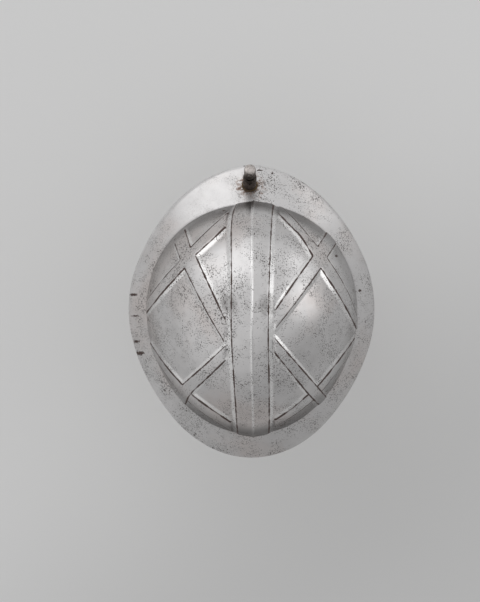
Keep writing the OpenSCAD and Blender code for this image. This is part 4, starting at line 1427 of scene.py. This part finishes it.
stations = HEAD_STATIONS + list(np.linspace(14, FRONT_LEN - 2, 18))
stations += list(np.linspace(FRONT_LEN, FRONT_LEN + ROUND_LEN, 14))
stations += list(FRONT_LEN + ROUND_LEN + np.linspace(1, FOLD_LEN, 20))
bm = flat_strap(stations, lambda u: head_width(min(u, STRAP_W / 2)), STRAP_SECTION)
bend(bm, round_bar)
buckle_strap = finish_piece(bm, "buckle_strap_leather")
bm = bmesh.new()
bmesh.ops.create_cube(bm, size=1)
slot_h = SLOT_TOP + 3 * BAR_BORE
bmesh.ops.scale(bm, verts=bm.verts[:], vec=(SLOT_DEPTH * MM, SLOT_W * MM, slot_h * MM))
bmesh.ops.translate(bm, verts=bm.verts[:], vec=(BAR_X * MM, 0, (BAR_Z + SLOT_TOP - slot_h / 2) * MM))
tops = [e for e in bm.edges if min(v.co.z for v in e.verts) > (BAR_Z + SLOT_TOP - 1) * MM
        and abs(e.verts[0].co.y - e.verts[1].co.y) < SMALLEST]
bmesh.ops.bevel(bm, geom=tops, offset=SLOT_W * SLOT_ROUND * MM, offset_type="OFFSET", segments=5,
                profile=0.5, affect="EDGES", material=-1)
bored(buckle_strap, finish_piece(bm, "slot_cutter"))
rivet_holes = [(side * STRAP_W / 4, BAR_Z + FOLD_LEN * 0.75, FOLD_RIVET_D) for side in (-1, 1)]
punch(buckle_strap, [(0, PIVOT_Z, PIVOT_HOLE_D), *rivet_holes])
sharp_over(buckle_strap, 50)
buckle_strap.data.materials.append(strap_leather)
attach(buckle_strap, "buckle_side")
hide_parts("buckle_strap")

# %% [markdown]
# ## Keeper
#
# The keeper is a narrow loop of leather that holds the loose end of the other strap. It is the same flat
# strap on a smaller scale, bent round a rectangle with rounded corners, and its two ends are merged.

# %% Keeper loop
KEEPER_Z = -55
KEEPER_H = 8
KEEPER_IN_X = STRAP_IN - 0.1
KEEPER_DEPTH = 5.2
KEEPER_HALF_W = 9.1
KEEPER_CORNER = 0.5
KEEPER_EDGE = [(1, 0.3), (1, 1.2), (0.93, 1.55), (0.78, 1.6), (0.72, 1.42), (0.66, 1.6)]
KEEPER_SECTION = [(-0.95, 0), (0.95, 0), *KEEPER_EDGE, (0, 1.6)]
KEEPER_SECTION += [(-across, high) for across, high in reversed(KEEPER_EDGE)]
SIDES = [KEEPER_DEPTH - 2 * KEEPER_CORNER, 2 * KEEPER_HALF_W - 2 * KEEPER_CORNER]
BEND_LEN = 2.0
LOOP = [SIDES[1], BEND_LEN, SIDES[0], BEND_LEN] * 2


def round_keeper(u, y, w):
    """Round the four sides and corners of the loop, starting at a corner of the inner side."""
    at = Vector((KEEPER_IN_X, -KEEPER_HALF_W + KEEPER_CORNER, 0))
    way, out = Vector((0, 1, 0)), Vector((-1, 0, 0))
    for i, length in enumerate(LOOP):
        part = min(max(u, 0), length)
        if i % 2:
            a = part / BEND_LEN * math.pi / 2
            centre = at - out * KEEPER_CORNER
            at = centre + (out * math.cos(a) + way * math.sin(a)) * KEEPER_CORNER
            out, way = out * math.cos(a) + way * math.sin(a), way * math.cos(a) - out * math.sin(a)
        else:
            at = at + way * part
        u -= length
        if u <= 0:
            break
    at = at + out * w
    return at.x, at.y, KEEPER_Z + KEEPER_H / 2 + y


stations = [0.0]
for i, length in enumerate(LOOP):
    steps = 6 if i % 2 else 4
    stations += [stations[-1] + length * k / steps for k in range(1, steps + 1)]
bm = flat_strap(stations, lambda u: KEEPER_H / 2, KEEPER_SECTION, closed=True)
bend(bm, round_keeper)
keeper = finish_piece(bm, "keeper_loop")
sharp_over(keeper, 50)
keeper.data.materials.append(strap_leather)
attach(keeper, "buckle_side")
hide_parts("strap_keeper")

# %% [markdown]
# ## Buckle and tongue
#
# The frame is one iron rod, bent and forge-welded. A closed curve with a round bevel is the natural way to
# bend a rod, and a radius that differs a little from point to point keeps the marks of the hammer. The
# tongue is a turned pin joined to an eye that turns on the bar.

# %% Bent iron rod
WIRE_R = 1.6
ARM_Y = 11.8
BUCKLE_LEN = 19
# Corners of the rod's middle line: across, down from the bar, and radius of the bend
CORNERS = [(ARM_Y, 0, 2.0), (-ARM_Y, 0, 2.0), (-ARM_Y, -BUCKLE_LEN, 4.0), (ARM_Y, -BUCKLE_LEN, 4.0)]
CORNER_STEPS = 8
STRAIGHT_STEPS = 6
# The rod's thickness swings round 97.5 % of the whole, by 2.5 %
UNEVEN = 0.025

rod = []
for i, (y, z, r) in enumerate(CORNERS):
    here = np.array([y, z])
    before = np.array(CORNERS[i - 1][:2]) - here
    after = np.array(CORNERS[(i + 1) % 4][:2]) - here
    before, after = before / np.linalg.norm(before), after / np.linalg.norm(after)
    centre = here + (before + after) * r
    for k in range(CORNER_STEPS + 1):
        a = k / CORNER_STEPS * math.pi / 2
        rod.append(centre - after * r * math.cos(a) - before * r * math.sin(a))
whole = []
for a, b in zip(rod, rod[1:] + rod[:1]):
    steps = STRAIGHT_STEPS if np.linalg.norm(b - a) > 2 else 1
    whole += [a + (b - a) * k / steps for k in range(steps)]
curve = bpy.data.curves.new("rod", "CURVE")
curve.dimensions = "3D"
curve.bevel_depth = WIRE_R * MM
curve.bevel_resolution = 6
spline = curve.splines.new("POLY")
spline.points.add(len(whole) - 1)
spline.use_cyclic_u = True
for i, (point, (y, z)) in enumerate(zip(spline.points, whole)):
    point.co = (BAR_X * MM, y * MM, (BAR_Z + z) * MM, 1)
    point.radius = 1 - UNEVEN + UNEVEN * math.sin(i * 1.7) * math.cos(i * 0.6)
rod_curve = bpy.data.objects.new("rod", curve)
bpy.context.scene.collection.objects.link(rod_curve)
bpy.context.view_layer.update()
mesh = bpy.data.meshes.new_from_object(rod_curve.evaluated_get(bpy.context.evaluated_depsgraph_get()))
bpy.data.objects.remove(rod_curve)
bm = bmesh.new()
bm.from_mesh(mesh)
bmesh.ops.remove_doubles(bm, verts=bm.verts[:], dist=SAME_PLACE)
bmesh.ops.recalc_face_normals(bm, faces=bm.faces[:])
buckle_rod = finish_piece(bm, "buckle_rod")
buckle_rod.data.materials.append(forged_iron)
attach(buckle_rod, "buckle")
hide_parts("buckle_frame")

# %% Tongue with its eye
# The tongue's pin lies this far outside the bar's middle line
PIN_X = 2.95
PIN_PROFILE = [(0, 1.2), (0.7, 0.95), (1.1, 0.5), (1.2, 0), (1.2, -12), (1.15, -18), (1.02, -21),
               (0.85, -22), (0.5, -22.6), (0, -22.8)]
EYE_PROFILE = [(1.65, -1.3), (1.85, -1.5), (2.7, -1.5), (2.95, -1.2), (2.95, 1.2), (2.7, 1.5), (1.85, 1.5),
               (1.65, 1.3), (1.65, -1.3)]
at_bar = Matrix.Translation((BAR_X * MM, 0, BAR_Z * MM))
bm = turned(EYE_PROFILE, 40)
bm.transform(at_bar @ Matrix.Rotation(math.pi / 2, 4, "X"))
tongue = finish_piece(bm, "buckle_pin")
bm = turned(PIN_PROFILE, 20)
bm.transform(at_bar @ Matrix.Translation((PIN_X * MM, 0, 0)))
bored(tongue, finish_piece(bm, "pin"), "UNION")
sharp_over(tongue, 45)
tongue.data.materials.append(forged_iron)
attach(tongue, "tongue")
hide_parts("buckle_tongue")

# %% [markdown]
# ## Camera, floor and light
#
# The picture looks straight down on the helmet from two metres, with the front of the brim at the top.
# The light is that of a studio, where left is the wearer's left: a large soft lamp at the front left, a
# small low one at the front right that draws bright edges, and a fill from the right. The sky is paler
# towards the front left, which polished steel shows as a soft sweep of light. The paper on the floor has
# a painted shadow: its grey darkens slowly towards the rear right.

# %% Camera
CAMERA_PLACE = (12.1, -18.5, 2000)
PICTURE_H = 602
FOCAL_PIXELS = 1949.3
SENSOR = 36

camera = bpy.data.objects.new("camera", bpy.data.cameras.new("camera"))
bpy.context.scene.collection.objects.link(camera)
camera.location = Vector(CAMERA_PLACE) * MM
camera.rotation_euler = (0, 0, math.pi)
camera.data.sensor_width = SENSOR
camera.data.lens = FOCAL_PIXELS / PICTURE_H * SENSOR
bpy.context.scene.camera = camera
bpy.context.scene.view_settings.view_transform = "Standard"

# %% Floor
FLOOR_Z = -0.2405
FLOOR_SIZE = 8.0
FLOOR_PALE = 0.70
# Painted shadow on the floor: pale at the front left, darker towards the rear right
FLOOR_SHADOW_GREY = 0.56
FLOOR_SHADOW_TOWARDS = (-0.6, 0.8, 0)
# The floor's painted shadow darkens it from the first to the second of these distances from the middle, in
# metres
FLOOR_SHADOW_TURN = (-0.07, 0.30)

bm = bmesh.new()
bmesh.ops.create_grid(bm, x_segments=1, y_segments=1, size=FLOOR_SIZE / 2)
bmesh.ops.translate(bm, verts=bm.verts[:], vec=(0, 0, FLOOR_Z))
floor = finish_piece(bm, "floor", smooth=False)
paper = Finish("paper_with_painted_shadow")
# Painted shadow on the floor, by distance towards the rear right
rear = paper.add("VectorMath", {"operation": "DOT_PRODUCT"}, {0: paper.where, 1: FLOOR_SHADOW_TOWARDS}, "Value")
grey = paper.mixed(paper.between(rear, *FLOOR_SHADOW_TURN), (FLOOR_PALE,) * 3, (FLOOR_SHADOW_GREY,) * 3)
floor.data.materials.append(paper.finish(base_color=grey, roughness=0.9))
floor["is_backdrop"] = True

# %% Lamps and sky
LAMPS = {
    "key": dict(place=(1.35, -2.3, 1.4), size=(3.0, 2.4), power=13),
    "edge": dict(place=(-1.9, -1.9, 0.5), size=(1.2, 0.9), power=1.8),
    "fill": dict(place=(-2.4, -0.5, 1.1), size=(1.7, 1.7), power=6),
}
SKY_DARK = 0.40
SKY_PALE = 0.78
SKY_FROM = (0.45, -0.75, 0.48)
# The sky pales between these two cosines of the angle from SKY_FROM
SKY_TURN = (-0.8, 0.35)
BACKDROP = 0.50


def studio_sky():
    """A plain sky, paler towards the front left, with an even grey where the camera sees it."""
    world = bpy.data.worlds.new("studio")
    world.use_nodes = True
    sky = Nodes(world.node_tree)
    sockets = {0: sky.add("TexCoord", output="Generated"), 1: Vector(SKY_FROM).normalized()}
    towards = sky.add("VectorMath", {"operation": "DOT_PRODUCT"}, sockets, "Value")
    level = sky.between(towards, *SKY_TURN, SKY_DARK, SKY_PALE)
    camera_ray = sky.add("LightPath", output="Is Camera Ray")
    strength = sky.add("Mix", {"data_type": "FLOAT"}, {0: camera_ray, 2: level, 3: BACKDROP})
    background = sky.tree.nodes["Background"]
    sky.put(background.inputs["Strength"], strength)
    sky.put(background.inputs["Color"], (1, 1, 1))
    return world


for name, lamp in LAMPS.items():
    data = bpy.data.lights.new(name, "AREA")
    data.shape = "RECTANGLE"
    data.size, data.size_y = lamp["size"]
    data.energy = lamp["power"]
    made = bpy.data.objects.new(name, data)
    made.location = lamp["place"]
    made.rotation_euler = (-Vector(lamp["place"])).to_track_quat("-Z", "Y").to_euler()
    bpy.context.scene.collection.objects.link(made)
bpy.context.scene.world = studio_sky()

# %% Size of the dressed model
low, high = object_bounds()
print("dressed model, mm:", [round((b - a) * 1000, 1) for a, b in zip(low, high)])
